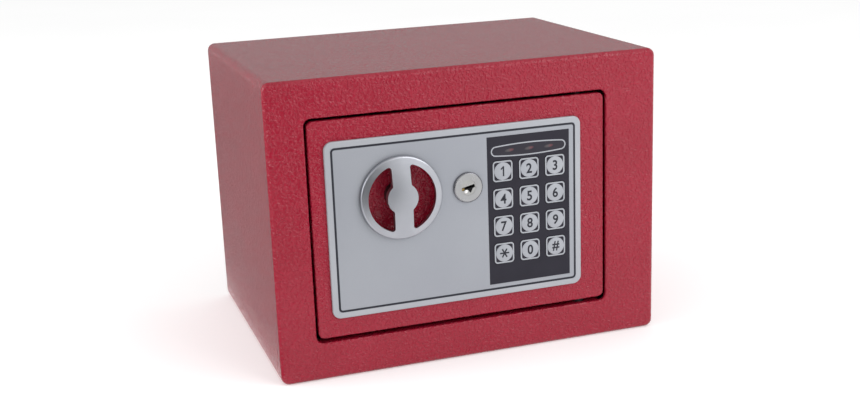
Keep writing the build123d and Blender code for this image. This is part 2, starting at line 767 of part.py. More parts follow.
def make_reset_button():
    """Red button inside the door that puts the safe into its code-setting state."""
    flange_y = SWITCH_BACK_Y + BUTTON_TRAVEL + BUTTON_STOP_GAP
    with BuildPart() as reset_button:
        with BuildSketch(upright(flange_y)):
            with Locations((BUTTON_X, BUTTON_Z)):
                Circle(BUTTON_R)
        extrude(amount=-(COVER_BACK_Y + BUTTON_PROUD - flange_y))
        fillet(reset_button.faces().sort_by(Axis.Y)[-1].edges(), BUTTON_EDGE_R)
        with BuildSketch(upright(flange_y)):
            with Locations((BUTTON_X, BUTTON_Z)):
                Circle(BUTTON_FLANGE_R)
        extrude(amount=-BUTTON_FLANGE_T)
        with BuildSketch(upright(flange_y)):
            with Locations((BUTTON_X, BUTTON_Z)):
                Circle(BUTTON_STEM_R)
        extrude(amount=flange_y - SWITCH_BACK_Y + BUTTON_STEM_L)
    save(reset_button, "reset_button")


# ---- Knob -------------------------------------------------------------------------------------------
def make_knob():
    """Domed disc with two windows, which leave an upright grip bar and a round hub."""
    rim_y = KNOB_BACK_Y - KNOB_RIM_T
    rise = rim_y - KNOB_FRONT_Y
    dome_r = (KNOB_R**2 + rise**2) / (2 * rise)
    with BuildPart() as knob:
        with BuildSketch(upright(KNOB_BACK_Y)):
            with Locations((KNOB_X, KNOB_Z)):
                Circle(KNOB_R)
        extrude(amount=KNOB_BACK_Y - KNOB_FRONT_Y)
        with Locations((KNOB_X, KNOB_FRONT_Y + dome_r, KNOB_Z)):
            Sphere(dome_r, mode=Mode.INTERSECT)
        fillet(circles_at_depth(knob, rim_y), KNOB_EDGE_R)
        back_plane = Plane(origin=(KNOB_X, KNOB_BACK_Y, KNOB_Z), x_dir=(1, 0, 0), z_dir=(0, -1, 0))
        with BuildSketch(back_plane) as windows:
            Circle(KNOB_WINDOW_R)
            Rectangle(KNOB_BAR_W, 2 * KNOB_R, rotation=KNOB_TILT, mode=Mode.SUBTRACT)
            Circle(KNOB_HUB_R, mode=Mode.SUBTRACT)
            fillet(windows.vertices(), KNOB_CORNER_R)
        extrude(amount=THROUGH_CUT, mode=Mode.SUBTRACT)
        with BuildSketch(upright(KNOB_BACK_Y)):
            with Locations((KNOB_X, KNOB_Z)):
                Circle(SHAFT_R + FIXED_GAP)
        extrude(amount=KNOB_BACK_Y - SHAFT_FRONT_Y, mode=Mode.SUBTRACT)
    save(knob, "knob")


def make_knob_shaft():
    with BuildPart() as knob_shaft:
        with BuildSketch(upright(SHAFT_FRONT_Y)):
            with Locations((KNOB_X, KNOB_Z)):
                Circle(SHAFT_R)
        extrude(amount=-(CRANK_FRONT_Y - SHAFT_FRONT_Y))
        with BuildSketch(upright(CRANK_FRONT_Y)):
            with Locations((KNOB_X, KNOB_Z)):
                Circle(THREAD_R)
        extrude(amount=-(SHAFT_END_Y - CRANK_FRONT_Y))
    save(knob_shaft, "knob_shaft")


def make_knob_bushing():
    """Dark sleeve fixed in the floor of the dish, in which the knob's shaft turns."""
    floor_y = FRONT_Y + DISH_DEPTH
    with BuildPart() as knob_bushing:
        with BuildSketch(upright(BUSHING_FRONT_Y)):
            with Locations((KNOB_X, KNOB_Z)):
                Circle(BUSHING_R)
        extrude(amount=-(floor_y - BUSHING_FRONT_Y))
        with BuildSketch(upright(floor_y)):
            with Locations((KNOB_X, KNOB_Z)):
                Circle(BUSHING_BARREL_R)
        extrude(amount=-DISH_WALL)
        with BuildSketch(upright(BUSHING_FRONT_Y)):
            with Locations((KNOB_X, KNOB_Z)):
                Circle(SHAFT_R + SHAFT_RUNNING_GAP)
        extrude(amount=-THROUGH_CUT, mode=Mode.SUBTRACT)
    save(knob_bushing, "knob_bushing")


def make_knob_crank():
    """Lever on the knob's shaft; its pin moves the bolt carriage."""
    pin_x = KNOB_X + CRANK_REACH
    pin_z = KNOB_Z + CRANK_REACH
    with BuildPart() as knob_crank:
        with BuildSketch(upright(CRANK_FRONT_Y)):
            with Locations((KNOB_X, KNOB_Z)):
                Circle(CRANK_HUB_R)
            with Locations((pin_x, pin_z)):
                Circle(CRANK_EYE_R)
            make_hull()
        extrude(amount=-CRANK_T)
        with BuildSketch(upright(CRANK_FRONT_Y)):
            with Locations((KNOB_X, KNOB_Z)):
                Circle(THREAD_R + FIXED_GAP)
        extrude(amount=-CRANK_T, mode=Mode.SUBTRACT)
        with BuildSketch(upright(CRANK_FRONT_Y + CRANK_T)):
            with Locations((pin_x, pin_z)):
                Circle(CRANK_PIN_R)
        extrude(amount=-(CRANK_PIN_END_Y - CRANK_FRONT_Y - CRANK_T))
    save(knob_crank, "knob_crank")


def make_shaft_nut():
    with BuildPart() as shaft_nut:
        with BuildSketch(upright(CRANK_FRONT_Y + CRANK_T)):
            with Locations((KNOB_X, KNOB_Z)):
                hexagon(SHAFT_NUT_FLATS)
                Circle(THREAD_R + FIXED_GAP, mode=Mode.SUBTRACT)
        extrude(amount=-SHAFT_NUT_T)
    save(shaft_nut, "shaft_nut")


# ---- Bolt work ----------------------------------------------------------------------------------------
def slot_between(x_from, x_to, z, half_width):
    """Level slot whose round ends are centred at x_from and x_to, for use inside a sketch."""
    with Locations(((x_from + x_to) / 2, z)):
        SlotCenterToCenter(x_to - x_from, 2 * half_width, mode=Mode.SUBTRACT)


def make_bolt_carriage():
    """Sliding plate with the crank's slot, guide slots, blocking notches and a flange for the bolts."""
    with BuildPart() as bolt_carriage:
        with BuildSketch(upright(CARRIAGE_Y)):
            box_outline(CARRIAGE_LEFT, CARRIAGE_LOW_RIGHT, CARRIAGE_LOW, CARRIAGE_STEP)
            box_outline(CARRIAGE_LEFT, CARRIAGE_HIGH_RIGHT, CARRIAGE_LOW, CARRIAGE_HIGH)
            with Locations((KNOB_X + CRANK_REACH, KNOB_Z + CRANK_SLOT_TOP / 2)):
                Rectangle(CRANK_SLOT_W, CRANK_SLOT_TOP, mode=Mode.SUBTRACT)
            slot_between(KNOB_X, KNOB_X + BOLT_THROW, KNOB_Z, SHAFT_CLEARANCE)
            for stud_x, stud_z in SLIDE_STUD_PLACES:
                slot_between(stud_x, stud_x + BOLT_THROW, stud_z, SLIDE_STUD_R + SLIDE_SLOT_GAP)
            for notch_x in (SOLENOID_X, SOLENOID_X + BOLT_THROW):
                with Locations((notch_x, CARRIAGE_LOW)):
                    Rectangle(NOTCH_W, 2 * NOTCH_DEPTH, mode=Mode.SUBTRACT)
        extrude(amount=-CARRIAGE_T)
        with BuildSketch(sideways(CARRIAGE_LEFT - CARRIAGE_T)):
            box_outline(BOLT_Y - BOLT_R, BOLT_Y + BOLT_R, FLANGE_LOW, FLANGE_HIGH)
            with Locations(*[(BOLT_Y, bolt_z) for bolt_z in BOLT_ZS]):
                Circle(RIVET_R + FIXED_GAP, mode=Mode.SUBTRACT)
        extrude(amount=CARRIAGE_T)
    save(bolt_carriage, "bolt_carriage")


def make_bolt(name, bolt_z):
    """Round bolt with its riveted tail."""
    flange_left = CARRIAGE_LEFT - CARRIAGE_T
    with BuildPart() as bolt:
        with BuildSketch(sideways(BOLT_TIP_X)):
            with Locations((BOLT_Y, bolt_z)):
                Circle(BOLT_R)
        extrude(amount=flange_left - BOLT_TIP_X)
        chamfer(bolt.faces().sort_by(Axis.X)[0].edges(), BOLT_CHAMFER)
        with BuildSketch(sideways(flange_left)):
            with Locations((BOLT_Y, bolt_z)):
                Circle(RIVET_R)
        extrude(amount=CARRIAGE_T)
        with BuildSketch(sideways(CARRIAGE_LEFT)):
            with Locations((BOLT_Y, bolt_z)):
                Circle(RIVET_HEAD_R)
        extrude(amount=RIVET_HEAD_T)
    save(bolt, name)


def make_bolt_guide():
    """Angle on the back of the door with the two holes that the bolts run in."""
    with BuildPart() as bolt_guide:
        with BuildSketch(sideways(GUIDE_LEFT)):
            box_outline(DOOR_BACK_Y, GUIDE_BACK_Y, GUIDE_LOW, GUIDE_HIGH)
            with Locations(*[(BOLT_Y, bolt_z) for bolt_z in BOLT_ZS]):
                Circle(BOLT_R + BOLT_RUNNING_GAP, mode=Mode.SUBTRACT)
        extrude(amount=GUIDE_T)
        with BuildSketch(upright(DOOR_BACK_Y)):
            box_outline(
                GUIDE_LEFT, GUIDE_LEFT + GUIDE_T + GUIDE_FOOT, GUIDE_LOW + GUIDE_FOOT, GUIDE_HIGH - GUIDE_FOOT
            )
        extrude(amount=-GUIDE_T)
    save(bolt_guide, "bolt_guide")


def make_carriage_studs():
    """Two shouldered studs on the back of the door that carry and guide the bolt carriage."""
    collar_end_y = CARRIAGE_Y - SLIDE_SIDE_GAP
    head_y = CARRIAGE_Y + CARRIAGE_T + SLIDE_SIDE_GAP
    with BuildPart() as carriage_studs:
        with BuildSketch(upright(DOOR_BACK_Y)):
            with Locations(*SLIDE_STUD_PLACES):
                Circle(SLIDE_COLLAR_R)
        extrude(amount=-(collar_end_y - DOOR_BACK_Y))
        with BuildSketch(upright(collar_end_y)):
            with Locations(*SLIDE_STUD_PLACES):
                Circle(SLIDE_STUD_R)
        extrude(amount=-(head_y - collar_end_y))
        with BuildSketch(upright(head_y)):
            with Locations(*SLIDE_STUD_PLACES):
                Circle(SLIDE_COLLAR_R)
        extrude(amount=-SLIDE_HEAD_T)
    save(carriage_studs, "carriage_studs")


# ---- Key lock -------------------------------------------------------------------------------------------
def make_lock_body():
    bezel_y = FASCIA_Y - LOCK_BEZEL_T
    with BuildPart() as lock_body:
        with BuildSketch(upright(bezel_y)):
            with Locations((LOCK_X, LOCK_Z)):
                Circle(LOCK_BEZEL_R)
        extrude(amount=-LOCK_BEZEL_T)
        chamfer(circles_at_depth(lock_body, bezel_y), LOCK_BEZEL_CHAMFER)
        with BuildSketch(upright(FASCIA_Y)):
            with Locations((LOCK_X, LOCK_Z)):
                Circle(LOCK_BARREL_R)
        extrude(amount=-(LOCK_BARREL_END_Y - FASCIA_Y))
        with BuildSketch(upright(bezel_y)):
            with Locations((LOCK_X, LOCK_Z)):
                Circle(PLUG_R + PLUG_RUNNING_GAP)
        extrude(amount=-THROUGH_CUT, mode=Mode.SUBTRACT)
    save(lock_body, "lock_body")


def make_lock_nut():
    with BuildPart() as lock_nut:
        with BuildSketch(upright(DOOR_BACK_Y)):
            with Locations((LOCK_X, LOCK_Z)):
                hexagon(LOCK_NUT_FLATS)
                Circle(LOCK_BARREL_R + FIXED_GAP, mode=Mode.SUBTRACT)
        extrude(amount=-LOCK_NUT_T)
    save(lock_nut, "lock_nut")


def make_lock_plug():
    plug_y = FASCIA_Y - LOCK_BEZEL_T + PLUG_RECESS
    with BuildPart() as lock_plug:
        with BuildSketch(upright(plug_y)):
            with Locations((LOCK_X, LOCK_Z)):
                Circle(PLUG_R)
        extrude(amount=-(PLUG_END_Y - plug_y))
        with BuildSketch(upright(plug_y)):
            with Locations((LOCK_X, LOCK_Z)):
                Rectangle(KEYWAY_L, KEYWAY_W, rotation=KEYWAY_TILT)
        extrude(amount=-KEYWAY_DEPTH, mode=Mode.SUBTRACT)
    save(lock_plug, "lock_plug")


def make_lock_cam():
    """Lever on the inner end of the plug. It points left while the lock is at rest."""
    with BuildPart() as lock_cam:
        with BuildSketch(upright(CAM_Y)):
            with Locations((LOCK_X, LOCK_Z)):
                Circle(CAM_HUB_R)
            with Locations((LOCK_X - CAM_REACH, LOCK_Z)):
                Circle(CAM_TIP_R)
            make_hull()
        extrude(amount=-CAM_T)
        with BuildSketch(upright(CAM_Y)):
            with Locations((LOCK_X, LOCK_Z)):
                Circle(PLUG_R + FIXED_GAP)
        extrude(amount=-CAM_T, mode=Mode.SUBTRACT)
    save(lock_cam, "lock_cam")


# ---- Solenoid -------------------------------------------------------------------------------------------
def make_solenoid_frame():
    left = SOLENOID_X - SOLENOID_W / 2
    right = SOLENOID_X + SOLENOID_W / 2
    with BuildPart() as solenoid_frame:
        with BuildSketch(sideways(left)):
            box_outline(DOOR_BACK_Y, DOOR_BACK_Y + SOLENOID_SHEET, SOLENOID_LOW, SOLENOID_HIGH)
            box_outline(DOOR_BACK_Y, SOLENOID_BACK_Y, SOLENOID_LOW, SOLENOID_LOW + SOLENOID_SHEET)
            box_outline(DOOR_BACK_Y, SOLENOID_BACK_Y, SOLENOID_HIGH - SOLENOID_SHEET, SOLENOID_HIGH)
        extrude(amount=right - left)
        with BuildSketch(Plane.XY.offset(SOLENOID_HIGH)):
            with Locations((SOLENOID_X, SOLENOID_Y)):
                Circle(PLUNGER_R + SOLENOID_HOLE_GAP)
        extrude(amount=-2 * SOLENOID_SHEET, mode=Mode.SUBTRACT)
    save(solenoid_frame, "solenoid_frame")


def make_solenoid_coil():
    low = SOLENOID_LOW + SOLENOID_SHEET
    high = SOLENOID_HIGH - SOLENOID_SHEET
    with BuildPart() as solenoid_coil:
        with BuildSketch(Plane.XY.offset(low)):
            with Locations((SOLENOID_X, SOLENOID_Y)):
                Circle(COIL_R)
                Circle(PLUNGER_R + PLUNGER_RUNNING_GAP, mode=Mode.SUBTRACT)
        extrude(amount=high - low)
    save(solenoid_coil, "solenoid_coil")


def make_solenoid_plunger():
    with BuildPart() as solenoid_plunger:
        with BuildSketch(Plane.XY.offset(PLUNGER_LOW)):
            with Locations((SOLENOID_X, SOLENOID_Y)):
                Circle(PLUNGER_R)
        extrude(amount=PLUNGER_HIGH - PLUNGER_LOW)
        with BuildSketch(Plane.XY.offset(PLUNGER_COLLAR_Z)):
            with Locations((SOLENOID_X, SOLENOID_Y)):
                Circle(PLUNGER_COLLAR_R)
        extrude(amount=PLUNGER_COLLAR_T)
        chamfer(solenoid_plunger.faces().sort_by(Axis.Z)[-1].edges(), PLUNGER_CHAMFER)
    save(solenoid_plunger, "solenoid_plunger")


def make_plunger_spring():
    """Coil spring, pressed flat while the plunger is drawn in."""
    with BuildPart() as plunger_spring:
        with BuildLine() as turns:
            Helix(
                pitch=SPRING_PITCH,
                height=SPRING_PITCH * SPRING_TURNS,
                radius=SPRING_R,
                center=(SOLENOID_X, SOLENOID_Y, SPRING_LOW),
            )
        with BuildSketch(Plane(origin=turns.line @ 0, z_dir=turns.line % 0)):
            Circle(SPRING_WIRE_R)
        sweep(path=turns.line, is_frenet=True)
    save(plunger_spring, "plunger_spring")


# ---- Inner cover and battery compartment ------------------------------------------------------------------
def make_inner_cover():
    """Moulded pan over the mechanism, with the battery opening and the ears that the lid swings in."""
    with BuildPart() as inner_cover:
        with BuildSketch(upright(DOOR_BACK_Y)):
            plate_outline(COVER_LEFT, COVER_RIGHT, COVER_LOW, COVER_HIGH, COVER_R)
        extrude(amount=-(COVER_BACK_Y - DOOR_BACK_Y))
        fillet(inner_cover.faces().sort_by(Axis.Y)[-1].edges(), COVER_EDGE_R)
        with BuildSketch(upright(DOOR_BACK_Y)):
            plate_outline(
                COVER_LEFT + COVER_T, COVER_RIGHT - COVER_T, COVER_LOW + COVER_T, COVER_HIGH - COVER_T,
                COVER_R - COVER_T,
            )
        extrude(amount=-(COVER_BACK_Y - COVER_T - DOOR_BACK_Y), mode=Mode.SUBTRACT)
        with BuildSketch(upright(COVER_BACK_Y)):
            box_outline(BAY_LEFT, BAY_RIGHT, BAY_LOW, BAY_HIGH)
            with Locations((BUTTON_X, BUTTON_Z)):
                Circle(BUTTON_HOLE_R)
            with Locations(*POST_PLACES):
                Circle(COVER_SCREW_HOLE_R)
        extrude(amount=COVER_T, mode=Mode.SUBTRACT)
        with BuildSketch(sideways(COVER_LEFT)):
            with Locations(*[(BOLT_Y, bolt_z) for bolt_z in BOLT_ZS]):
                Circle(BOLT_PORT_R)
        extrude(amount=COVER_T, mode=Mode.SUBTRACT)
        for ear_left in (LID_LEFT - EAR_GAP - EAR_T, LID_RIGHT + EAR_GAP):
            with BuildSketch(sideways(ear_left)):
                box_outline(COVER_BACK_Y, EAR_BACK_Y, LID_AXIS_Z - EAR_HALF, LID_AXIS_Z + EAR_HALF)
                with Locations((LID_AXIS_Y, LID_AXIS_Z)):
                    Circle(LID_PIN_R + EAR_RUNNING_GAP, mode=Mode.SUBTRACT)
            extrude(amount=EAR_T)
    save(inner_cover, "inner_cover")


def make_cover_screws():
    with BuildPart() as cover_screws:
        with BuildSketch(upright(COVER_BACK_Y)):
            with Locations(*POST_PLACES):
                Circle(COVER_HEAD_R)
        extrude(amount=-COVER_HEAD_T)
        fillet(cover_screws.faces().filter_by(Axis.Y).group_by(Axis.Y)[-1].edges(), COVER_HEAD_T / 2)
        with BuildSketch(upright(COVER_BACK_Y + COVER_HEAD_T)):
            with Locations(*POST_PLACES):
                Rectangle(CROSS_L, CROSS_W)
                Rectangle(CROSS_W, CROSS_L)
        extrude(amount=CROSS_DEPTH, mode=Mode.SUBTRACT)
        with BuildSketch(upright(COVER_BACK_Y)):
            with Locations(*POST_PLACES):
                Circle(COVER_SCREW_R)
        extrude(amount=COVER_T + COVER_SCREW_BITE)
    save(cover_screws, "cover_screws")


def make_battery_box():
    with BuildPart() as battery_box:
        with BuildSketch(upright(BOX_FRONT_Y)):
            box_outline(BOX_LEFT, BOX_RIGHT, BOX_LOW, BOX_HIGH)
        extrude(amount=-(COVER_BACK_Y - COVER_T - BOX_FRONT_Y))
        with BuildSketch(upright(BOX_FRONT_Y + BOX_T)):
            box_outline(BOX_LEFT + BOX_T, BOX_RIGHT - BOX_T, BOX_LOW + BOX_T, BOX_HIGH - BOX_T)
        extrude(amount=-THROUGH_CUT, mode=Mode.SUBTRACT)
    save(battery_box, "battery_box")


def make_batteries():
    """Four round cells side by side, each turned the other way from its neighbour."""
    middle_x = (BOX_LEFT + BOX_RIGHT) / 2
    middle_z = (BOX_LOW + BOX_HIGH) / 2
    with BuildPart() as batteries:
        for index in range(CELL_COUNT):
            cell_z = middle_z + (index - (CELL_COUNT - 1) / 2) * CELL_PITCH
            nub_side = 1 if index % 2 == 0 else -1
            with BuildSketch(sideways(middle_x - CELL_L / 2)):
                with Locations((CELL_Y, cell_z)):
                    Circle(CELL_R)
            extrude(amount=CELL_L)
            with BuildSketch(sideways(middle_x + nub_side * CELL_L / 2)):
                with Locations((CELL_Y, cell_z)):
                    Circle(CELL_NUB_R)
            extrude(amount=nub_side * CELL_NUB_L)
    save(batteries, "batteries")


def make_battery_cover():
    """Lid over the cells, hinged along its lower edge, with a finger tab at the top."""
    inner_y = COVER_BACK_Y + LID_GAP
    with BuildPart() as battery_cover:
        with BuildSketch(upright(inner_y)):
            box_outline(LID_LEFT, LID_RIGHT, LID_AXIS_Z, LID_HIGH)
        extrude(amount=-LID_T)
        with BuildSketch(upright(inner_y + LID_T)):
            with Locations(((LID_LEFT + LID_RIGHT) / 2, LID_HIGH - LID_TAB_H / 2)):
                Rectangle(LID_TAB_W, LID_TAB_H)
        extrude(amount=-LID_TAB_T)
        with BuildSketch(sideways(LID_LEFT)):
            with Locations((LID_AXIS_Y, LID_AXIS_Z)):
                Circle(LID_BARREL_R)
        extrude(amount=LID_RIGHT - LID_LEFT)
        with BuildSketch(sideways(LID_LEFT - LID_PIN_L)):
            with Locations((LID_AXIS_Y, LID_AXIS_Z)):
                Circle(LID_PIN_R)
        extrude(amount=LID_RIGHT - LID_LEFT + 2 * LID_PIN_L)
    save(battery_cover, "battery_cover")


def main():
    os.makedirs("parts", exist_ok=True)
    make_body_shell()
    make_back_panel()
    make_floor_mat()
    make_door_plate()
    make_hinge_lug("hinge_lug_top", LUG_TOP_Z)
    make_hinge_lug("hinge_lug_bottom", LUG_BOTTOM_Z)
    make_hinge_pin("hinge_pin_top", LUG_TOP_Z, OPENING_HIGH + RETURN_T + PIN_END)
    make_hinge_pin("hinge_pin_bottom", OPENING_LOW - RETURN_T - PIN_END, LUG_BOTTOM_Z + LUG_T)
    make_hinge_washer()
    make_fascia_panel()
    make_fascia_nuts()
    make_keypad_bezel()
    make_status_window()
    make_status_leds()
    make_keys()
    make_keypad_mat()
    make_keypad_board()
    make_board_screws()
    make_board_spacers()
    make_control_board()
    make_board_components()
    make_reset_button()
    make_knob()
    make_knob_shaft()
    make_knob_bushing()
    make_knob_crank()
    make_shaft_nut()
    make_bolt_carriage()
    make_bolt("bolt_lower", BOLT_ZS[0])
    make_bolt("bolt_upper", BOLT_ZS[1])
    make_bolt_guide()
    make_carriage_studs()
    make_lock_body()
    make_lock_nut()
    make_lock_plug()
    make_lock_cam()
    make_solenoid_frame()
    make_solenoid_coil()
    make_solenoid_plunger()
    make_plunger_spring()
    make_inner_cover()
    make_cover_screws()
    make_battery_box()
    make_batteries()
    make_battery_cover()


main()
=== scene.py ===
import json
import math

import bmesh
import bpy
from mathutils import Matrix, Vector


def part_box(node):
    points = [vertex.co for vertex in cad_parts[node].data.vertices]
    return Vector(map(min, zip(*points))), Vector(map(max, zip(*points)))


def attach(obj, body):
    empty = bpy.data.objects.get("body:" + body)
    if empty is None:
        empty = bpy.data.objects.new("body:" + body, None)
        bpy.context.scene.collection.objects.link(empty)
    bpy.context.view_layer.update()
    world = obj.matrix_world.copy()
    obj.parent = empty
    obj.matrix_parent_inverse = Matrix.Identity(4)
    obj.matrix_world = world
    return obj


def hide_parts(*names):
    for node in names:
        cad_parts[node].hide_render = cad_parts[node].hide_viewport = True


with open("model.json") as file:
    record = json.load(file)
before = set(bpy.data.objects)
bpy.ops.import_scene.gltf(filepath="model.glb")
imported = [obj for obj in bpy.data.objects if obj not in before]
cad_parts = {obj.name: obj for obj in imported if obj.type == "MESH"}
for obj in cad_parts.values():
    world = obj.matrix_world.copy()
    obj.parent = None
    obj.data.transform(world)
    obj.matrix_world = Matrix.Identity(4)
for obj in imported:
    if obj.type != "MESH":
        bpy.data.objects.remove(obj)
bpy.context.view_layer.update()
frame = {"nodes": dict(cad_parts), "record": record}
NODES = frame["nodes"]
MM = 0.001
# Points of a mesh that lie closer than this, in metres, are one point.
WELD = 1e-8

# ---- Camera: the photograph's viewing angle ------------------------------------------------------
CAMERA_AT = Vector((-0.24209, -0.73455, 0.28242))
CAMERA_AZIMUTH = math.radians(-18.471)
CAMERA_ELEVATION = math.radians(15.4065)
CAMERA_ROLL = math.radians(-2.1405)
CAMERA_LENS = 53.475
CAMERA_FILM_W = 36.0
CAMERA_NEAREST = 0.01


def make_camera():
    """Camera at the photograph's place and angle, with its slight roll."""
    data = bpy.data.cameras.new("camera")
    camera = bpy.data.objects.new("camera", data)
    bpy.context.scene.collection.objects.link(camera)
    back = Vector((
        math.sin(CAMERA_AZIMUTH) * math.cos(CAMERA_ELEVATION),
        -math.cos(CAMERA_AZIMUTH) * math.cos(CAMERA_ELEVATION),
        math.sin(CAMERA_ELEVATION),
    ))
    right = (-back).cross(Vector((0, 0, 1))).normalized()
    up = right.cross(-back)
    turned_right = right * math.cos(CAMERA_ROLL) + up * math.sin(CAMERA_ROLL)
    turned_up = up * math.cos(CAMERA_ROLL) - right * math.sin(CAMERA_ROLL)
    axes = Matrix((turned_right, turned_up, back)).transposed()
    camera.matrix_world = Matrix.Translation(CAMERA_AT) @ axes.to_4x4()
    data.lens = CAMERA_LENS
    data.sensor_width = CAMERA_FILM_W
    data.clip_start = CAMERA_NEAREST
    bpy.context.scene.camera = camera


make_camera()


# ---- Places taken from the frame, in millimetres ---------------------------------------------------
def span(node):
    """Lowest and highest corner of a CAD node at rest, in millimetres."""
    low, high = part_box(node)
    return Vector(low) / MM, Vector(high) / MM


FASCIA_LOW, FASCIA_HIGH = span("fascia_panel")
WINDOW_LOW, WINDOW_HIGH = span("status_window")
LED_LOW, LED_HIGH = span("status_leds")
LOCK_LOW, LOCK_HIGH = span("lock_body")
PLUG_LOW, PLUG_HIGH = span("lock_plug")
MAT_LOW, MAT_HIGH = span("floor_mat")
LID_LOW, LID_HIGH = span("battery_cover")
BOX_LOW, BOX_HIGH = span("battery_box")
CELLS_LOW, CELLS_HIGH = span("batteries")

# ---- Printed and fitted details, in millimetres ------------------------------------------------------
# Print stands proud of its face, and reaches into it, by INK_T.
INK_T = 0.03
ROUND_STEPS = 8

LINE_MARGIN = 3.45
LINE_W = 1.2
LINE_R = 2.4

KEY_NAMES = ["1", "2", "3", "4", "5", "6", "7", "8", "9", "star", "0", "hash"]
KEY_OUTLINE_W = 0.85
KEY_OUTLINE_R = 2.0
KEY_DISC_R = 5.12
KEY_DISC_STEP = 0.27
# Rounded edge of a key's disc: how far past its radius and behind its face each point is.
KEY_DISC_EDGE = [(0.0, 0.16), (-0.06, 0.06), (-0.18, 0.0)]
KEY_PRINT_LIFT = 0.02
TEXT_DEPTH = 0.5
TEXT_STEPS = 6
FIGURE_H = 5.8
FIGURE_NARROWING = 0.92
FIGURE_STROKE = 0.86
FIGURE_WEIGHT = 0.022
# Share of the figure one's stem that lies to the right of the middle.
STEM_SIDE = 0.9
FLAG_REACH = 1.15
FLAG_DROP = 1.25
FLAG_W = 0.9
FLAG_TOP = 0.15
STAR_ARM = 2.85
STAR_ARMS = 6

WINDOW_STROKE = 0.7
WINDOW_HALF_STRAIGHT = 19.9
WINDOW_END_H = 2.6
LENS_STEPS = 24
# Length and height scale of each lamp's painted highlight on the window, in millimetres.
LED_HIGHLIGHT_L = 2.9
LED_HIGHLIGHT_H = 1.0
LED_COUNT = 3
LED_PITCH = 12.0
LED_SLANT = -0.10

# How far the lock's rim stands out past the lock's side, reaches into it and stops short of the fascia.
RIM_PROUD = 0.05
RIM_INSIDE = 0.30
FASCIA_GAP = 0.01
# Rounded front of the rim: how far past the lock's radius and behind its face each point is.
RIM_FRONT = [(-0.70, 0.05), (-0.58, -0.06), (-0.25, 0.08), (-0.02, 0.35), (RIM_PROUD, 0.60)]
RIM_LIP = 0.55
# What shows in the keyhole: outlines in X and Z from the plug's middle for the painted shade and the worn
# brass, and the place and the radius and depth of the painted highlight's dome.
KEYHOLE_SHADE = [(-0.9, -0.5), (0.4, -2.3), (1.3, -3.1), (2.0, -1.6), (2.9, 0.2)]
KEYHOLE_BRASS = [(-4.0, -1.5), (-2.7, -1.4), (-2.3, -0.3), (-3.4, 0.0), (-4.0, -0.5)]
HIGHLIGHT_AT = (-1.5, -2.1)
HIGHLIGHT_DOME = [(0, -0.55), (0.45, -0.50), (0.80, -0.30), (1.0, 0.0), (1.0, 0.10), (0, 0.10)]

CELL_COUNT = 4
CELL_R = 7.1
CELL_CAP_L = 1.1
CELL_BAND_L = 13.0
CELL_BAND_END = 1.0
CELL_BAND_INSIDE = 0.2
CELL_SKIN = 0.03
# Profile of a cell's bare rim: how far past the cell's radius and past its end each point is.
CELL_RIM = [(-1.4, 0.02), (-0.5, 0.06), (CELL_SKIN, -0.45), (CELL_SKIN, -0.9), (-0.6, -0.9), (-1.4, -0.3)]
BOX_WALL = 1.5
CONTACT_T = 0.3
CONTACT_HALF = 4.8
CONTACT_BEVEL = 0.1
SPRING_REACH = 2.7
SPRING_FOOT_R = 4.2
SPRING_TIP_R = 1.9
SPRING_TURNS = 3.0
SPRING_WIRE_R = 0.28
SPRING_STEPS = 22
SPRING_SIDES = 8

LID_FACE_Y = -52.3
RIB_COUNT = 5
RIB_TOP_GAP = 6.0
RIB_PITCH = 2.4
RIB_W = 1.0
RIB_HALF_L = 9.0
RIB_RISE = 0.5
RIB_ROOT = 0.1
RIB_BEVEL = 0.22


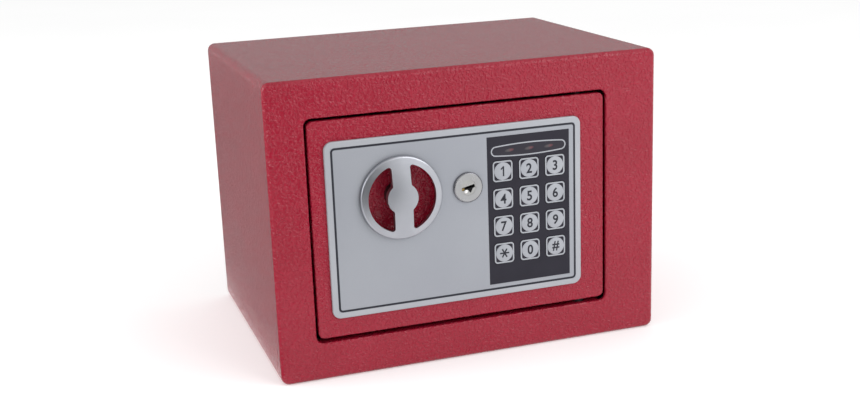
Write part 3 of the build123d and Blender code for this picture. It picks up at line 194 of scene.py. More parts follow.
# ---- Material helpers --------------------------------------------------------------------------
class Nodes:
    """A material's node tree, with short calls for the nodes that the materials below share."""

    def __init__(self, name):
        self.material = bpy.data.materials.new(name)
        self.material.use_nodes = True
        self.tree = self.material.node_tree
        self.shader = self.tree.nodes["Principled BSDF"]
        self.place = self.add("ShaderNodeTexCoord").outputs["Object"]

    def add(self, kind, **settings):
        """A new node of a kind, with its settings."""
        node = self.tree.nodes.new(kind)
        for key, value in settings.items():
            setattr(node, key, value)
        return node

    def link(self, source, target):
        """Joins a node's output to a socket."""
        self.tree.links.new(source, target)

    def put(self, socket, value):
        """Feeds a socket with another node's output or with a plain value."""
        if hasattr(value, "is_output"):
            self.link(value, socket)
        else:
            socket.default_value = value

    def stretched(self, scale):
        """The place, scaled along its three axes."""
        mapping = self.add("ShaderNodeMapping")
        self.link(self.place, mapping.inputs["Vector"])
        mapping.inputs["Scale"].default_value = scale
        return mapping.outputs["Vector"]

    def axis(self, letter):
        """One coordinate of the place, in millimetres."""
        split = self.add("ShaderNodeSeparateXYZ")
        self.link(self.place, split.inputs[0])
        return self.math("DIVIDE", split.outputs[letter], MM)

    def noise(self, size_mm, detail=2.0, roughness=0.5, distortion=0.0, at=None):
        """Cloudy noise, about 0.3 to 0.7, whose clouds are of the given size."""
        node = self.add("ShaderNodeTexNoise")
        self.link(at or self.place, node.inputs["Vector"])
        node.inputs["Scale"].default_value = 1.0 / (size_mm * MM)
        node.inputs["Detail"].default_value = detail
        node.inputs["Roughness"].default_value = roughness
        node.inputs["Distortion"].default_value = distortion
        return node.outputs["Fac"]

    def cells(self, size_mm, at=None, smooth=False):
        """Distance from the middle of the nearest cell, with soft borders where smooth is set."""
        node = self.add("ShaderNodeTexVoronoi", feature="SMOOTH_F1" if smooth else "F1")
        self.link(at or self.place, node.inputs["Vector"])
        node.inputs["Scale"].default_value = 1.0 / (size_mm * MM)
        if smooth:
            node.inputs["Smoothness"].default_value = 0.6
        return node.outputs["Distance"]

    def warped(self, size_mm, reach_mm):
        """The place, pushed about by a noise, so that a pattern on it loses its regular look."""
        node = self.add("ShaderNodeTexNoise")
        self.link(self.place, node.inputs["Vector"])
        node.inputs["Scale"].default_value = 1.0 / (size_mm * MM)
        node.inputs["Detail"].default_value = 2.0
        push = self.add("ShaderNodeVectorMath", operation="MULTIPLY_ADD")
        self.link(node.outputs["Color"], push.inputs[0])
        push.inputs[1].default_value = (reach_mm * MM,) * 3
        self.link(self.place, push.inputs[2])
        return push.outputs[0]

    def math(self, operation, a, b=0.0, c=0.0):
        """Result of a calculation with up to three values."""
        node = self.add("ShaderNodeMath", operation=operation)
        for socket, value in zip(node.inputs, (a, b, c)):
            self.put(socket, value)
        return node.outputs[0]

    def remap(self, value, low, high, to_low=0.0, to_high=1.0, kind="LINEAR"):
        """A value between low and high, stretched to another range and held inside it."""
        node = self.add("ShaderNodeMapRange", interpolation_type=kind)
        self.put(node.inputs["Value"], value)
        node.inputs["From Min"].default_value = low
        node.inputs["From Max"].default_value = high
        node.inputs["To Min"].default_value = to_low
        node.inputs["To Max"].default_value = to_high
        return node.outputs["Result"]

    def mix(self, factor, a, b, blend="MIX"):
        """Blend of two colours, each an output or red, green and blue."""
        node = self.add("ShaderNodeMix", data_type="RGBA", blend_type=blend)
        self.put(node.inputs[0], factor)
        self.put(node.inputs[6], a if hasattr(a, "is_output") else (*a, 1.0))
        self.put(node.inputs[7], b if hasattr(b, "is_output") else (*b, 1.0))
        return node.outputs[2]

    def bump(self, height, depth_mm):
        """Surface normal for a relief of the given depth."""
        node = self.add("ShaderNodeBump")
        self.link(height, node.inputs["Height"])
        node.inputs["Distance"].default_value = depth_mm * MM
        node.inputs["Strength"].default_value = 1.0
        return node.outputs["Normal"]

    def surface(self, color, roughness, normal=None, metallic=None, specular=None):
        """Sets the shader and gives the finished material."""
        sockets = self.shader.inputs
        self.link(color, sockets["Base Color"])
        self.put(sockets["Roughness"], roughness)
        if normal is not None:
            self.link(normal, sockets["Normal"])
        if metallic is not None:
            sockets["Metallic"].default_value = metallic
        if specular is not None:
            sockets["Specular IOR Level"].default_value = specular
        return self.material


# ---- Materials -------------------------------------------------------------------------------------
# Sizes and depths of patterns, in millimetres; a share is a part of the wrinkle's height.
WRINKLE = 1.5
WRINKLE_DEPTH = 0.36
RIPPLE = 0.8
RIPPLE_SHARE = 0.30
PAINT_GRAIN = 0.42
PAINT_GRAIN_SHARE = 0.13
BORDER_BLUR = 0.2
METAL_GRAIN = 0.4
METAL_GRAIN_DEPTH = 0.002
MOULD_GRAIN = 0.35
COIL_WIRE = 0.45
TRACK_HALF_PITCH = 0.8


def red_powder_coat():
    """Wrinkled red powder coat: smooth glossy fields between short raised wrinkles."""
    n = Nodes("red_powder_coat")
    swell = n.noise(WRINKLE, detail=1.0, roughness=0.45, distortion=0.3, at=n.warped(3.0, 1.1))
    wrinkle = n.remap(swell, 0.38, 0.66, kind="SMOOTHSTEP")
    ripples = n.noise(RIPPLE, detail=1.0)
    grain = n.noise(PAINT_GRAIN, detail=2.0)
    height = n.math("MULTIPLY_ADD", ripples, RIPPLE_SHARE, wrinkle)
    height = n.math("MULTIPLY_ADD", grain, PAINT_GRAIN_SHARE, height)
    normal = n.bump(height, WRINKLE_DEPTH)
    tone = n.remap(n.noise(30.0, detail=2.0), 0.3, 0.7)
    color = n.mix(tone, (0.305, 0.0075, 0.026), (0.330, 0.0090, 0.030))
    # Painted shade: the low fields between wrinkles are mixed up to a quarter towards a darker red, and
    # the raised wrinkles stay lighter.
    color = n.mix(n.remap(wrinkle, 0.0, 1.0, 0.25, 0.0), color, (0.230, 0.005, 0.017))
    roughness = n.remap(grain, 0.3, 0.7, 0.13, 0.19)
    # The coat adds gloss only where the paint is seen at a flat angle.
    facing = n.add("ShaderNodeLayerWeight").outputs["Facing"]
    n.link(n.remap(facing, 0.55, 0.78, 0.0, 0.90), n.shader.inputs["Coat Weight"])
    n.shader.inputs["Coat Roughness"].default_value = 0.25
    n.link(normal, n.shader.inputs["Coat Normal"])
    return n.surface(color, roughness, normal, specular=0.40)


def silver_paint():
    """Satin silver lacquer with fine metal flake; the border outside the printed line is brighter."""
    n = Nodes("silver_paint")
    middle = (FASCIA_LOW + FASCIA_HIGH) / 2
    half = (FASCIA_HIGH - FASCIA_LOW) / 2
    from_middle_x = n.math("ABSOLUTE", n.math("SUBTRACT", n.axis("X"), middle.x))
    from_middle_z = n.math("ABSOLUTE", n.math("SUBTRACT", n.axis("Z"), middle.z))
    past_x = n.math("SUBTRACT", from_middle_x, half.x - LINE_MARGIN)
    past_z = n.math("SUBTRACT", from_middle_z, half.z - LINE_MARGIN)
    border = n.remap(n.math("MAXIMUM", past_x, past_z), -BORDER_BLUR, BORDER_BLUR)
    drift = n.remap(n.noise(45.0, detail=2.0), 0.3, 0.7)
    inside = n.mix(drift, (0.308, 0.322, 0.358), (0.330, 0.344, 0.378))
    outside = n.mix(drift, (0.372, 0.385, 0.418), (0.396, 0.408, 0.438))
    flake = n.remap(n.cells(0.12), 0.1, 0.7, 0.93, 1.06)
    color = n.mix(1.0, n.mix(border, inside, outside), flake, "MULTIPLY")
    roughness = n.remap(n.noise(0.3), 0.3, 0.7, 0.40, 0.52)
    normal = n.bump(n.noise(0.22, detail=2.0), 0.008)
    return n.surface(color, roughness, normal, metallic=0.3)


def satin_metal():
    """Satin plated casting: fine blasted grain, soft drift and slightly uneven gloss."""
    n = Nodes("satin_metal")
    drift = n.noise(11.0, detail=3.0)
    color = n.mix(n.remap(drift, 0.3, 0.7), (0.392, 0.403, 0.438), (0.430, 0.441, 0.475))
    roughness = n.remap(n.noise(5.0, detail=3.0), 0.25, 0.75, 0.33, 0.39)
    return n.surface(color, roughness, n.bump(n.noise(0.5, detail=2.0), 0.003), metallic=1.0)


def plain_metal(name, light, dark, rough, metallic=1.0):
    """Plated or bare metal: colour drift, fine grain and slightly uneven gloss."""
    n = Nodes(name)
    drift = n.noise(6.0, detail=4.0, roughness=0.65)
    color = n.mix(n.remap(drift, 0.3, 0.7), dark, light)
    roughness = n.remap(n.noise(3.0, detail=3.0), 0.3, 0.7, rough * 0.8, rough * 1.25)
    normal = n.bump(n.noise(METAL_GRAIN, detail=2.0), METAL_GRAIN_DEPTH)
    return n.surface(color, roughness, normal, metallic=metallic)


def brushed_zinc():
    """Zinc plated sheet: rolled grain, cloudy spangle and duller patches."""
    n = Nodes("zinc_steel")
    spangle = n.cells(5.0, at=n.warped(3.0, 2.0))
    grain = n.noise(0.5, detail=3.0, at=n.stretched((1.0, 1.0, 12.0)))
    color = n.mix(n.remap(spangle, 0.1, 0.8), (0.52, 0.53, 0.54), (0.43, 0.44, 0.46))
    roughness = n.remap(n.noise(7.0, detail=3.0), 0.3, 0.7, 0.30, 0.45)
    return n.surface(color, roughness, n.bump(grain, 0.010), metallic=1.0)


def moulded(name, light, dark, rough, grain_depth=0.02, specular=0.5):
    """Moulded plastic or rubber: fine spark-eroded grain and slight tone drift."""
    n = Nodes(name)
    drift = n.noise(14.0, detail=3.0)
    grain = n.cells(MOULD_GRAIN, smooth=True)
    color = n.mix(n.remap(drift, 0.3, 0.7), dark, light)
    roughness = n.remap(grain, 0.2, 0.8, rough * 0.85, rough * 1.1)
    return n.surface(color, roughness, n.bump(grain, grain_depth), specular=specular)


def window_tint():
    """Smoked window with painted highlights of the three lamps behind it, grey on the left and red on the
    right; the red is partly the lamps' own colour.
    """
    n = Nodes("window_tint")
    lamp_x = (LED_LOW.x + LED_HIGH.x) / 2
    lamp_z = (LED_LOW.z + LED_HIGH.z) / 2
    along = n.math("WRAP", n.math("SUBTRACT", n.axis("X"), lamp_x), LED_PITCH / 2, -LED_PITCH / 2)
    across = n.math("SUBTRACT", n.axis("Z"), lamp_z)
    slanted = n.math("MULTIPLY_ADD", along, LED_SLANT, across)
    reach = n.math("POWER", n.math("DIVIDE", along, LED_HIGHLIGHT_L), 2.0)
    reach = n.math("ADD", reach, n.math("POWER", n.math("DIVIDE", slanted, LED_HIGHLIGHT_H), 2.0))
    from_middle = n.math("ABSOLUTE", n.math("SUBTRACT", n.axis("X"), lamp_x))
    near = n.math("LESS_THAN", from_middle, LED_PITCH * LED_COUNT / 2)
    # Painted highlight: in front of each lamp the window's colour is mixed towards a grey and red tone.
    glow = n.math("MULTIPLY", n.remap(reach, 0.15, 1.1, 1.0, 0.0), near)
    lamp_highlight_tone = n.mix(n.remap(along, -0.6, 1.6), (0.085, 0.078, 0.082), (0.150, 0.058, 0.068))
    drift = n.remap(n.noise(9.0, detail=2.0), 0.3, 0.7)
    dark = n.mix(drift, (0.026, 0.0235, 0.0335), (0.031, 0.0285, 0.039))
    roughness = n.remap(n.noise(4.0), 0.3, 0.7, 0.30, 0.38)
    normal = n.bump(n.noise(0.5), 0.002)
    return n.surface(n.mix(glow, dark, lamp_highlight_tone), roughness, normal, specular=0.2)


def copper_coil():
    """Lacquered copper wire, wound turn beside turn."""
    n = Nodes("copper_coil")
    turn = n.math("SINE", n.math("MULTIPLY", n.axis("Z"), 2.0 * math.pi / COIL_WIRE))
    # Painted shade: each turn is light on its crest and dark in the groove between turns, following the
    # same wave as the bump.
    color = n.mix(n.remap(turn, -1.0, 1.0), (0.20, 0.06, 0.02), (0.50, 0.19, 0.07))
    roughness = n.remap(n.noise(2.0), 0.3, 0.7, 0.25, 0.4)
    return n.surface(color, roughness, n.bump(turn, 0.05), metallic=0.6)


def circuit_board():
    """Green solder mask with lighter copper tracks under it."""
    n = Nodes("circuit_board")
    across = n.math("ABSOLUTE", n.math("WRAP", n.axis("X"), TRACK_HALF_PITCH, -TRACK_HALF_PITCH))
    along = n.math("ABSOLUTE", n.math("WRAP", n.axis("Z"), TRACK_HALF_PITCH, -TRACK_HALF_PITCH))
    upright = n.math("GREATER_THAN", n.noise(6.0, detail=1.0), 0.5)
    level = n.math("SUBTRACT", 1.0, upright)
    track = n.math("ADD", n.math("MULTIPLY", across, upright), n.math("MULTIPLY", along, level))
    mask = n.remap(track, 0.22, 0.30, 1.0, 0.0)
    color = n.mix(mask, (0.010, 0.085, 0.030), (0.030, 0.150, 0.055))
    return n.surface(color, n.remap(n.noise(5.0), 0.3, 0.7, 0.28, 0.4), n.bump(mask, 0.02))


def grey_felt():
    """Needle felt: matted fibres with a little nap."""
    n = Nodes("grey_felt")
    fibres = n.noise(0.5, detail=5.0, roughness=0.75, distortion=2.5)
    clumps = n.noise(4.0, detail=3.0)
    color = n.mix(n.remap(fibres, 0.35, 0.65), (0.022, 0.022, 0.025), (0.095, 0.095, 0.102))
    color = n.mix(n.remap(clumps, 0.35, 0.65, 0.0, 0.35), color, (0.035, 0.035, 0.040))
    n.shader.inputs["Sheen Weight"].default_value = 0.35
    roughness = n.remap(fibres, 0.3, 0.7, 0.85, 1.0)
    return n.surface(color, roughness, n.bump(fibres, 0.35), specular=0.15)


# Light tone, dark tone and roughness, then how metallic it is where that is not fully.
PLAIN_METALS = {
    "bolt_steel": ((0.70, 0.70, 0.71), (0.60, 0.60, 0.62), 0.18),
    "chrome_lock": ((0.420, 0.421, 0.428), (0.370, 0.371, 0.378), 0.30),
    "brass_plug": ((0.44, 0.44, 0.43), (0.38, 0.38, 0.375), 0.30),
    "worn_brass": ((0.36, 0.27, 0.12), (0.22, 0.16, 0.07), 0.35),
    "cell_gold": ((0.62, 0.38, 0.14), (0.52, 0.31, 0.11), 0.28),
    # Darkened chrome: a painted dark reflection on the ring over the lock's chamfer.
    "painted_reflection_chrome": ((0.24, 0.24, 0.26), (0.15, 0.15, 0.165), 0.22),
    "black_steel": ((0.020, 0.020, 0.022), (0.012, 0.012, 0.013), 0.42, 0.6),
    # Near-white metal: a painted highlight in the keyhole.
    "painted_highlight_white": ((0.93, 0.93, 0.93), (0.90, 0.90, 0.90), 0.30, 0.2),
}
# Light tone, dark tone and roughness, then the depth of the grain and the gloss where they aren't usual.
MOULDED = {
    "pitch_dark": ((0.010, 0.010, 0.011), (0.006, 0.006, 0.007), 0.6, 0.002, 0.1),
    "keypad_dark": ((0.0290, 0.0275, 0.0375), (0.0250, 0.0238, 0.0325), 0.50, 0.004, 0.12),
    "key_print": ((0.375, 0.390, 0.425), (0.335, 0.350, 0.385), 0.45, 0.004),
    "dark_ink": ((0.026, 0.027, 0.036), (0.020, 0.021, 0.029), 0.5, 0.002, 0.2),
    "led_plastic": ((0.55, 0.50, 0.50), (0.45, 0.40, 0.40), 0.3),
    "black_plastic": ((0.026, 0.026, 0.028), (0.018, 0.018, 0.020), 0.5, 0.04),
    "switch_rubber": ((0.12, 0.12, 0.13), (0.09, 0.09, 0.10), 0.7),
    "component_plastic": ((0.03, 0.03, 0.033), (0.02, 0.02, 0.022), 0.4),
    "button_red": ((0.50, 0.02, 0.015), (0.40, 0.013, 0.01), 0.3, 0.004),
    "cell_wrap": ((0.040, 0.050, 0.075), (0.028, 0.034, 0.052), 0.3, 0.002),
}
MATERIALS = {
    "red_powder_coat": red_powder_coat(),
    "silver_paint": silver_paint(),
    "satin_metal": satin_metal(),
    "zinc_steel": brushed_zinc(),
    "window_tint": window_tint(),
    "circuit_board": circuit_board(),
    "copper_coil": copper_coil(),
    "grey_felt": grey_felt(),
}
MATERIALS.update({name: plain_metal(name, *look) for name, look in PLAIN_METALS.items()})
MATERIALS.update({name: moulded(name, *look) for name, look in MOULDED.items()})
# The record's slots are named like the materials, but for the key caps.
SLOT_MATERIAL = {"key_caps": "keypad_dark"}


def dress_frame():
    """Each carried-over CAD node gets the material of its record slot."""
    slot_of = {row["node"]: row["material_slot"] for row in frame["record"]["subparts"]}
    for name, node in NODES.items():
        slot = slot_of[name]
        node.data.materials.clear()
        node.data.materials.append(MATERIALS[SLOT_MATERIAL.get(slot, slot)])


dress_frame()


# ---- Mesh helpers ------------------------------------------------------------------------------------
def finish_piece(name, mesh, body, slot, material=None, smooth_deg=35.0):
    """Link a mesh as a piece that rides on a body, with its material: the slot's own unless another is
    given.
    """
    mesh.materials.clear()
    mesh.materials.append(MATERIALS[material or slot])
    mesh.shade_smooth()
    mesh.set_sharp_from_angle(angle=math.radians(smooth_deg))
    piece = bpy.data.objects.new(name, mesh)
    bpy.context.scene.collection.objects.link(piece)
    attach(piece, body)
    return piece


def mesh_of(name, points, faces):
    """Closed mesh from points in millimetres, with its faces turned outwards."""
    mesh = bpy.data.meshes.new(name)
    mesh.from_pydata([Vector(point) * MM for point in points], [], faces)
    shape = bmesh.new()
    shape.from_mesh(mesh)
    bmesh.ops.remove_doubles(shape, verts=shape.verts, dist=WELD)
    bmesh.ops.recalc_face_normals(shape, faces=shape.faces)
    shape.to_mesh(mesh)
    shape.free()
    return mesh


def arc(centre, radius, start_deg, end_deg, count):
    """Points of an arc in a plane."""
    points = []
    for index in range(count + 1):
        angle = math.radians(start_deg + (end_deg - start_deg) * index / count)
        points.append((centre[0] + radius * math.cos(angle), centre[1] + radius * math.sin(angle)))
    return points


def rounded_outline(left, right, low, high, radius):
    """Outline of a rounded rectangle, counter-clockwise in X and Z."""
    corners = (
        (right - radius, low + radius, -90), (right - radius, high - radius, 0),
        (left + radius, high - radius, 90), (left + radius, low + radius, 180),
    )
    outline = []
    for x, z, start in corners:
        outline += arc((x, z), radius, start, start + 90, ROUND_STEPS)
    return outline


def plate(name, outline, y_back, y_front, hole=None):
    """Flat plate facing the front: an outline in X and Z, with a hole of as many points if given."""
    loops = [outline] if hole is None else [outline, hole]
    count = len(outline)
    points = [(x, y, z) for y in (y_front, y_back) for loop in loops for x, z in loop]
    depth = count * len(loops)
    faces = []
    for index in range(count):
        after = (index + 1) % count
        for level in range(len(loops)):
            first = level * count
            faces.append((first + index, first + after, depth + first + after, depth + first + index))
        if hole is not None:
            faces.append((index, after, count + after, count + index))
            faces.append((depth + index, depth + after, depth + count + after, depth + count + index))
    if hole is None:
        faces.append(tuple(range(count)))
        faces.append(tuple(range(depth, depth + count)))
    return mesh_of(name, points, faces)


def turned(name, profile, origin, axis="Y", steps=64):
    """Turned solid: a profile of (radius, place along the axis) swept about an axis through origin."""
    rings = []
    points = []
    for radius, along in profile:
        ring = []
        for step in range(steps if radius > 0 else 1):
            angle = 2 * math.pi * step / steps
            a, b = radius * math.cos(angle), radius * math.sin(angle)
            offset = {"X": (along, a, b), "Y": (a, along, b), "Z": (a, b, along)}[axis]
            ring.append(len(points))
            points.append(Vector(origin) + Vector(offset))
        rings.append(ring)
    closed = profile[0][0] > 0
    pairs = list(zip(rings, rings[1:])) + ([(rings[-1], rings[0])] if closed else [])
    faces = []
    for ring, other in pairs:
        for step in range(steps):
            after = (step + 1) % steps
            quad = [ring[step % len(ring)], ring[after % len(ring)]]
            quad += [other[after % len(other)], other[step % len(other)]]
            faces.append(tuple(dict.fromkeys(quad)))
    return mesh_of(name, points, [face for face in faces if len(face) > 2])


def block(name, low, high, bevel, segments=3):
    """Box between two corners with rounded edges."""
    mesh = bpy.data.meshes.new(name)
    shape = bmesh.new()
    bmesh.ops.create_cube(shape, size=1.0)
    for vert in shape.verts:
        vert.co = Vector([(low[i] if vert.co[i] < 0 else high[i]) * MM for i in range(3)])
    bmesh.ops.bevel(
        shape, geom=list(shape.edges), offset=bevel * MM, segments=segments, profile=0.5, affect="EDGES"
    )
    bmesh.ops.recalc_face_normals(shape, faces=shape.faces)
    shape.to_mesh(mesh)
    shape.free()
    return mesh


# ---- Printed line round the fascia ---------------------------------------------------------------------
def make_fascia_line():
    """Thin dark line, printed just inside the edge of the fascia."""
    left, right = FASCIA_LOW.x + LINE_MARGIN, FASCIA_HIGH.x - LINE_MARGIN
    low, high = FASCIA_LOW.z + LINE_MARGIN, FASCIA_HIGH.z - LINE_MARGIN
    outer = rounded_outline(left, right, low, high, LINE_R)
    inner = rounded_outline(left + LINE_W, right - LINE_W, low + LINE_W, high - LINE_W, LINE_R - LINE_W)
    face_y = FASCIA_LOW.y
    mesh = plate("fascia_line", outer, face_y + INK_T, face_y - INK_T, inner)
    finish_piece("fascia_line", mesh, "door", "keypad_dark", "dark_ink")


# ---- Keypad ------------------------------------------------------------------------------------------
def figure_mesh(character, centre, face_y):
    """A figure of the keypad's lettering, standing upright on a face that looks to the front."""
    curve = bpy.data.curves.new("figure_curve", "FONT")
    curve.body = character
    curve.extrude = TEXT_DEPTH
    curve.resolution_u = TEXT_STEPS
    curve.offset = FIGURE_WEIGHT
    text = bpy.data.objects.new("figure_curve", curve)
    bpy.context.scene.collection.objects.link(text)
    bpy.context.view_layer.update()
    mesh = bpy.data.meshes.new_from_object(text.evaluated_get(bpy.context.evaluated_depsgraph_get()))
    bpy.data.objects.remove(text)
    bpy.data.curves.remove(curve)
    xs = [vert.co.x for vert in mesh.vertices]
    zs = [vert.co.y for vert in mesh.vertices]
    scale = FIGURE_H / (max(zs) - min(zs))
    for vert in mesh.vertices:
        x = (vert.co.x - (min(xs) + max(xs)) / 2) * scale * FIGURE_NARROWING
        z = (vert.co.y - (min(zs) + max(zs)) / 2) * scale
        vert.co = Vector((centre[0] + x, face_y - vert.co.z / TEXT_DEPTH * INK_T, centre[1] + z)) * MM
    shape = bmesh.new()
    shape.from_mesh(mesh)
    bmesh.ops.remove_doubles(shape, verts=shape.verts, dist=WELD)
    bmesh.ops.recalc_face_normals(shape, faces=shape.faces)
    shape.to_mesh(mesh)
    shape.free()
    return mesh


def one_mesh(centre, face_y):
    """The figure one: an upright stem with a slanted flag at its top left."""
    half = FIGURE_H / 2
    right = FIGURE_STROKE * STEM_SIDE
    left = right - FIGURE_STROKE
    outline = [
        (left, -half), (right, -half), (right, half), (left + FLAG_TOP, half),
        (left - FLAG_REACH, half - FLAG_DROP), (left - FLAG_REACH, half - FLAG_DROP - FLAG_W),
        (left, half - FLAG_DROP),
    ]
    outline = [(centre[0] + x, centre[1] + z) for x, z in outline]
    return plate("one", outline, face_y + INK_T, face_y - INK_T)


def star_mesh(centre, face_y):
    """Star of three crossed bars, as one outline: two corners at each arm's end and one between arms."""
    half = FIGURE_STROKE / 2
    pitch = 2 * math.pi / STAR_ARMS
    inner = half / math.sin(pitch / 2)
    outline = []
    for arm in range(STAR_ARMS):
        angle = pitch * arm
        along = Vector((math.cos(angle), math.sin(angle)))
        across = Vector((-along.y, along.x))
        notch = angle + pitch / 2
        outline.append(tuple(Vector(centre) + along * STAR_ARM - across * half))
        outline.append(tuple(Vector(centre) + along * STAR_ARM + across * half))
        outline.append(tuple(Vector(centre) + Vector((math.cos(notch), math.sin(notch))) * inner))
    return plate("star", outline, face_y + INK_T, face_y - INK_T)


def make_keys():
    """Each dark key carries a raised pale disc, a pale outline and its figure."""
    for name in KEY_NAMES:
        low, high = span(f"key_{name}")
        centre = ((low.x + high.x) / 2, (low.z + high.z) / 2)
        cap_y = low.y + KEY_DISC_STEP - KEY_PRINT_LIFT
        disc_y = low.y - KEY_PRINT_LIFT
        body = f"keypad_{name}"
        outer = rounded_outline(low.x, high.x, low.z, high.z, KEY_OUTLINE_R)
        inner = rounded_outline(
            low.x + KEY_OUTLINE_W, high.x - KEY_OUTLINE_W,
            low.z + KEY_OUTLINE_W, high.z - KEY_OUTLINE_W, KEY_OUTLINE_R - KEY_OUTLINE_W,
        )
        outline = plate(f"key_outline_{name}", outer, cap_y + INK_T, cap_y - INK_T, inner)
        finish_piece(f"key_outline_{name}", outline, body, "key_caps", "key_print")
        edge = [(KEY_DISC_R + out, disc_y + back) for out, back in KEY_DISC_EDGE]
        profile = [(0, cap_y), (KEY_DISC_R, cap_y), *edge, (0, disc_y)]
        disc = turned(f"key_disc_{name}", profile, (centre[0], 0, centre[1]), steps=48)
        finish_piece(f"key_disc_{name}", disc, body, "key_caps", "key_print")
        if name == "star":
            figure = star_mesh(centre, disc_y)
        elif name == "1":
            figure = one_mesh(centre, disc_y)
        else:
            figure = figure_mesh({"hash": "#"}.get(name, name), centre, disc_y)
        finish_piece(f"key_figure_{name}", figure, body, "keypad_dark", "dark_ink")


def arc_through(first, middle, last):
    """Points of the arc from first by way of middle to just before last, in a plane."""
    (ax, ay), (bx, by), (cx, cy) = first, middle, last
    d = 2 * (ax * (by - cy) + bx * (cy - ay) + cx * (ay - by))
    a2, b2, c2 = ax * ax + ay * ay, bx * bx + by * by, cx * cx + cy * cy
    ox = (a2 * (by - cy) + b2 * (cy - ay) + c2 * (ay - by)) / d
    oy = (a2 * (cx - bx) + b2 * (ax - cx) + c2 * (bx - ax)) / d
    start = math.atan2(ay - oy, ax - ox)
    sweep = (math.atan2(cy - oy, cx - ox) - start) % (2 * math.pi)
    radius = math.hypot(ax - ox, ay - oy)
    angles = [start + sweep * step / LENS_STEPS for step in range(LENS_STEPS)]
    return [(ox + radius * math.cos(angle), oy + radius * math.sin(angle)) for angle in angles]


def lens_line(middle, mid_h, end_h, half_straight, half_length):
    """Long lens with bulging edges and round ends, as an outline in X and Z."""
    outline = []
    for side in (1, -1):
        near_end = (side * half_straight, side * end_h)
        far_end = (-side * half_straight, side * end_h)
        far_end_below = (-side * half_straight, -side * end_h)
        outline += arc_through(near_end, (0, side * mid_h), far_end)
        outline += arc_through(far_end, (-side * half_length, 0), far_end_below)
    return [(middle[0] + x, middle[1] + z) for x, z in outline]


def make_window_outline():
    """Thin pale line, printed round the status window."""
    middle = ((WINDOW_LOW.x + WINDOW_HIGH.x) / 2, (WINDOW_LOW.z + WINDOW_HIGH.z) / 2)
    half_length = (WINDOW_HIGH.x - WINDOW_LOW.x) / 2
    mid_h = (WINDOW_HIGH.z - WINDOW_LOW.z) / 2
    grow = WINDOW_STROKE / 2
    outer = lens_line(middle, mid_h + grow, WINDOW_END_H + grow, WINDOW_HALF_STRAIGHT, half_length + grow)
    inner = lens_line(middle, mid_h - grow, WINDOW_END_H - grow, WINDOW_HALF_STRAIGHT, half_length - grow)
    face_y = WINDOW_LOW.y
    mesh = plate("window_outline", outer, face_y + INK_T, face_y - INK_T, inner)
    finish_piece("window_outline", mesh, "door", "key_caps", "key_print")


make_fascia_line()
make_keys()
make_window_outline()


# ---- Key lock ------------------------------------------------------------------------------------------
def make_lock_reflection_ring():
    """Polished ring that frames the pale face of the lock, darkened as a painted dark reflection of the
    lock's chamfer.
    """
    centre = ((LOCK_LOW.x + LOCK_HIGH.x) / 2, 0, (LOCK_LOW.z + LOCK_HIGH.z) / 2)
    outer = (LOCK_HIGH.x - LOCK_LOW.x) / 2
    face_y = LOCK_LOW.y
    foot_y = FASCIA_LOW.y - FASCIA_GAP
    profile = [(outer + out, face_y + back) for out, back in RIM_FRONT]
    profile += [(outer + RIM_PROUD, foot_y), (outer - RIM_INSIDE, foot_y)]
    profile.append((outer - RIM_INSIDE, face_y + RIM_LIP))
    mesh = turned("lock_reflection_ring", profile, centre, steps=96)
    finish_piece("lock_reflection_ring", mesh, "door", "chrome_lock", "painted_reflection_chrome")


def make_keyhole():
    """What shows in the keyhole: painted shade under the slot, worn brass and a small near-white dome as
    a painted highlight.
    """
    centre = ((PLUG_LOW.x + PLUG_HIGH.x) / 2, (PLUG_LOW.z + PLUG_HIGH.z) / 2)
    face_y = PLUG_LOW.y
    # Painted shade: a near-black plate where the keyway lies in shade under the slot.
    notch = [(centre[0] + x, centre[1] + z) for x, z in KEYHOLE_SHADE]
    mesh = plate("notch", notch, face_y + INK_T, face_y - INK_T)
    finish_piece("keyhole_painted_shade", mesh, "key_lock", "brass_plug", "pitch_dark")
    patch = [(centre[0] + x, centre[1] + z) for x, z in KEYHOLE_BRASS]
    mesh = plate("brass", patch, face_y + INK_T, face_y - 2 * INK_T)
    finish_piece("keyhole_brass", mesh, "key_lock", "brass_plug", "worn_brass")
    # Painted highlight: a small dome of near-white metal in the keyhole.
    origin = (centre[0] + HIGHLIGHT_AT[0], face_y, centre[1] + HIGHLIGHT_AT[1])
    mesh = turned("highlight_dome", HIGHLIGHT_DOME, origin, steps=32)
    finish_piece("keyhole_painted_highlight", mesh, "key_lock", "brass_plug", "painted_highlight_white")


make_lock_reflection_ring()
make_keyhole()


# ---- Battery compartment -----------------------------------------------------------------------------
def cell_places():
    """Middle of each cell in Y and Z, and the side that its raised cap points to."""
    pitch = ((CELLS_HIGH.z - CELLS_LOW.z) - 2 * CELL_R) / (CELL_COUNT - 1)
    middle_y = (CELLS_LOW.y + CELLS_HIGH.y) / 2
    places = []
    for index in range(CELL_COUNT):
        side = 1 if index % 2 == 0 else -1
        places.append((middle_y, CELLS_LOW.z + CELL_R + index * pitch, side))
    return places


def make_cells():
    """Each cell shows a bright band at its raised cap and a bare metal rim at both ends."""
    middle_x = (CELLS_LOW.x + CELLS_HIGH.x) / 2
    half = (CELLS_HIGH.x - CELLS_LOW.x) / 2 - CELL_CAP_L
    skin = CELL_R + CELL_SKIN
    inside = CELL_R - CELL_BAND_INSIDE
    band_end, band_start = half - CELL_BAND_END, half - CELL_BAND_L
    for index, (y, z, side) in enumerate(cell_places(), 1):
        origin = (middle_x, y, z)
        band = [(skin, band_end), (skin, band_start), (inside, band_start), (inside, band_end)]
        band = [(radius, along * side) for radius, along in band]
        mesh = turned("band", band, origin, "X")
        finish_piece(f"cell_band_{index}", mesh, "door", "cell_wrap", "cell_gold")
        for end, side_name in ((1, "right"), (-1, "left")):
            rim = [(CELL_R + out, end * (half + past)) for out, past in CELL_RIM]
            mesh = turned("rim", rim, origin, "X")
            finish_piece(f"cell_rim_{index}_{side_name}", mesh, "door", "cell_wrap", "bolt_steel")


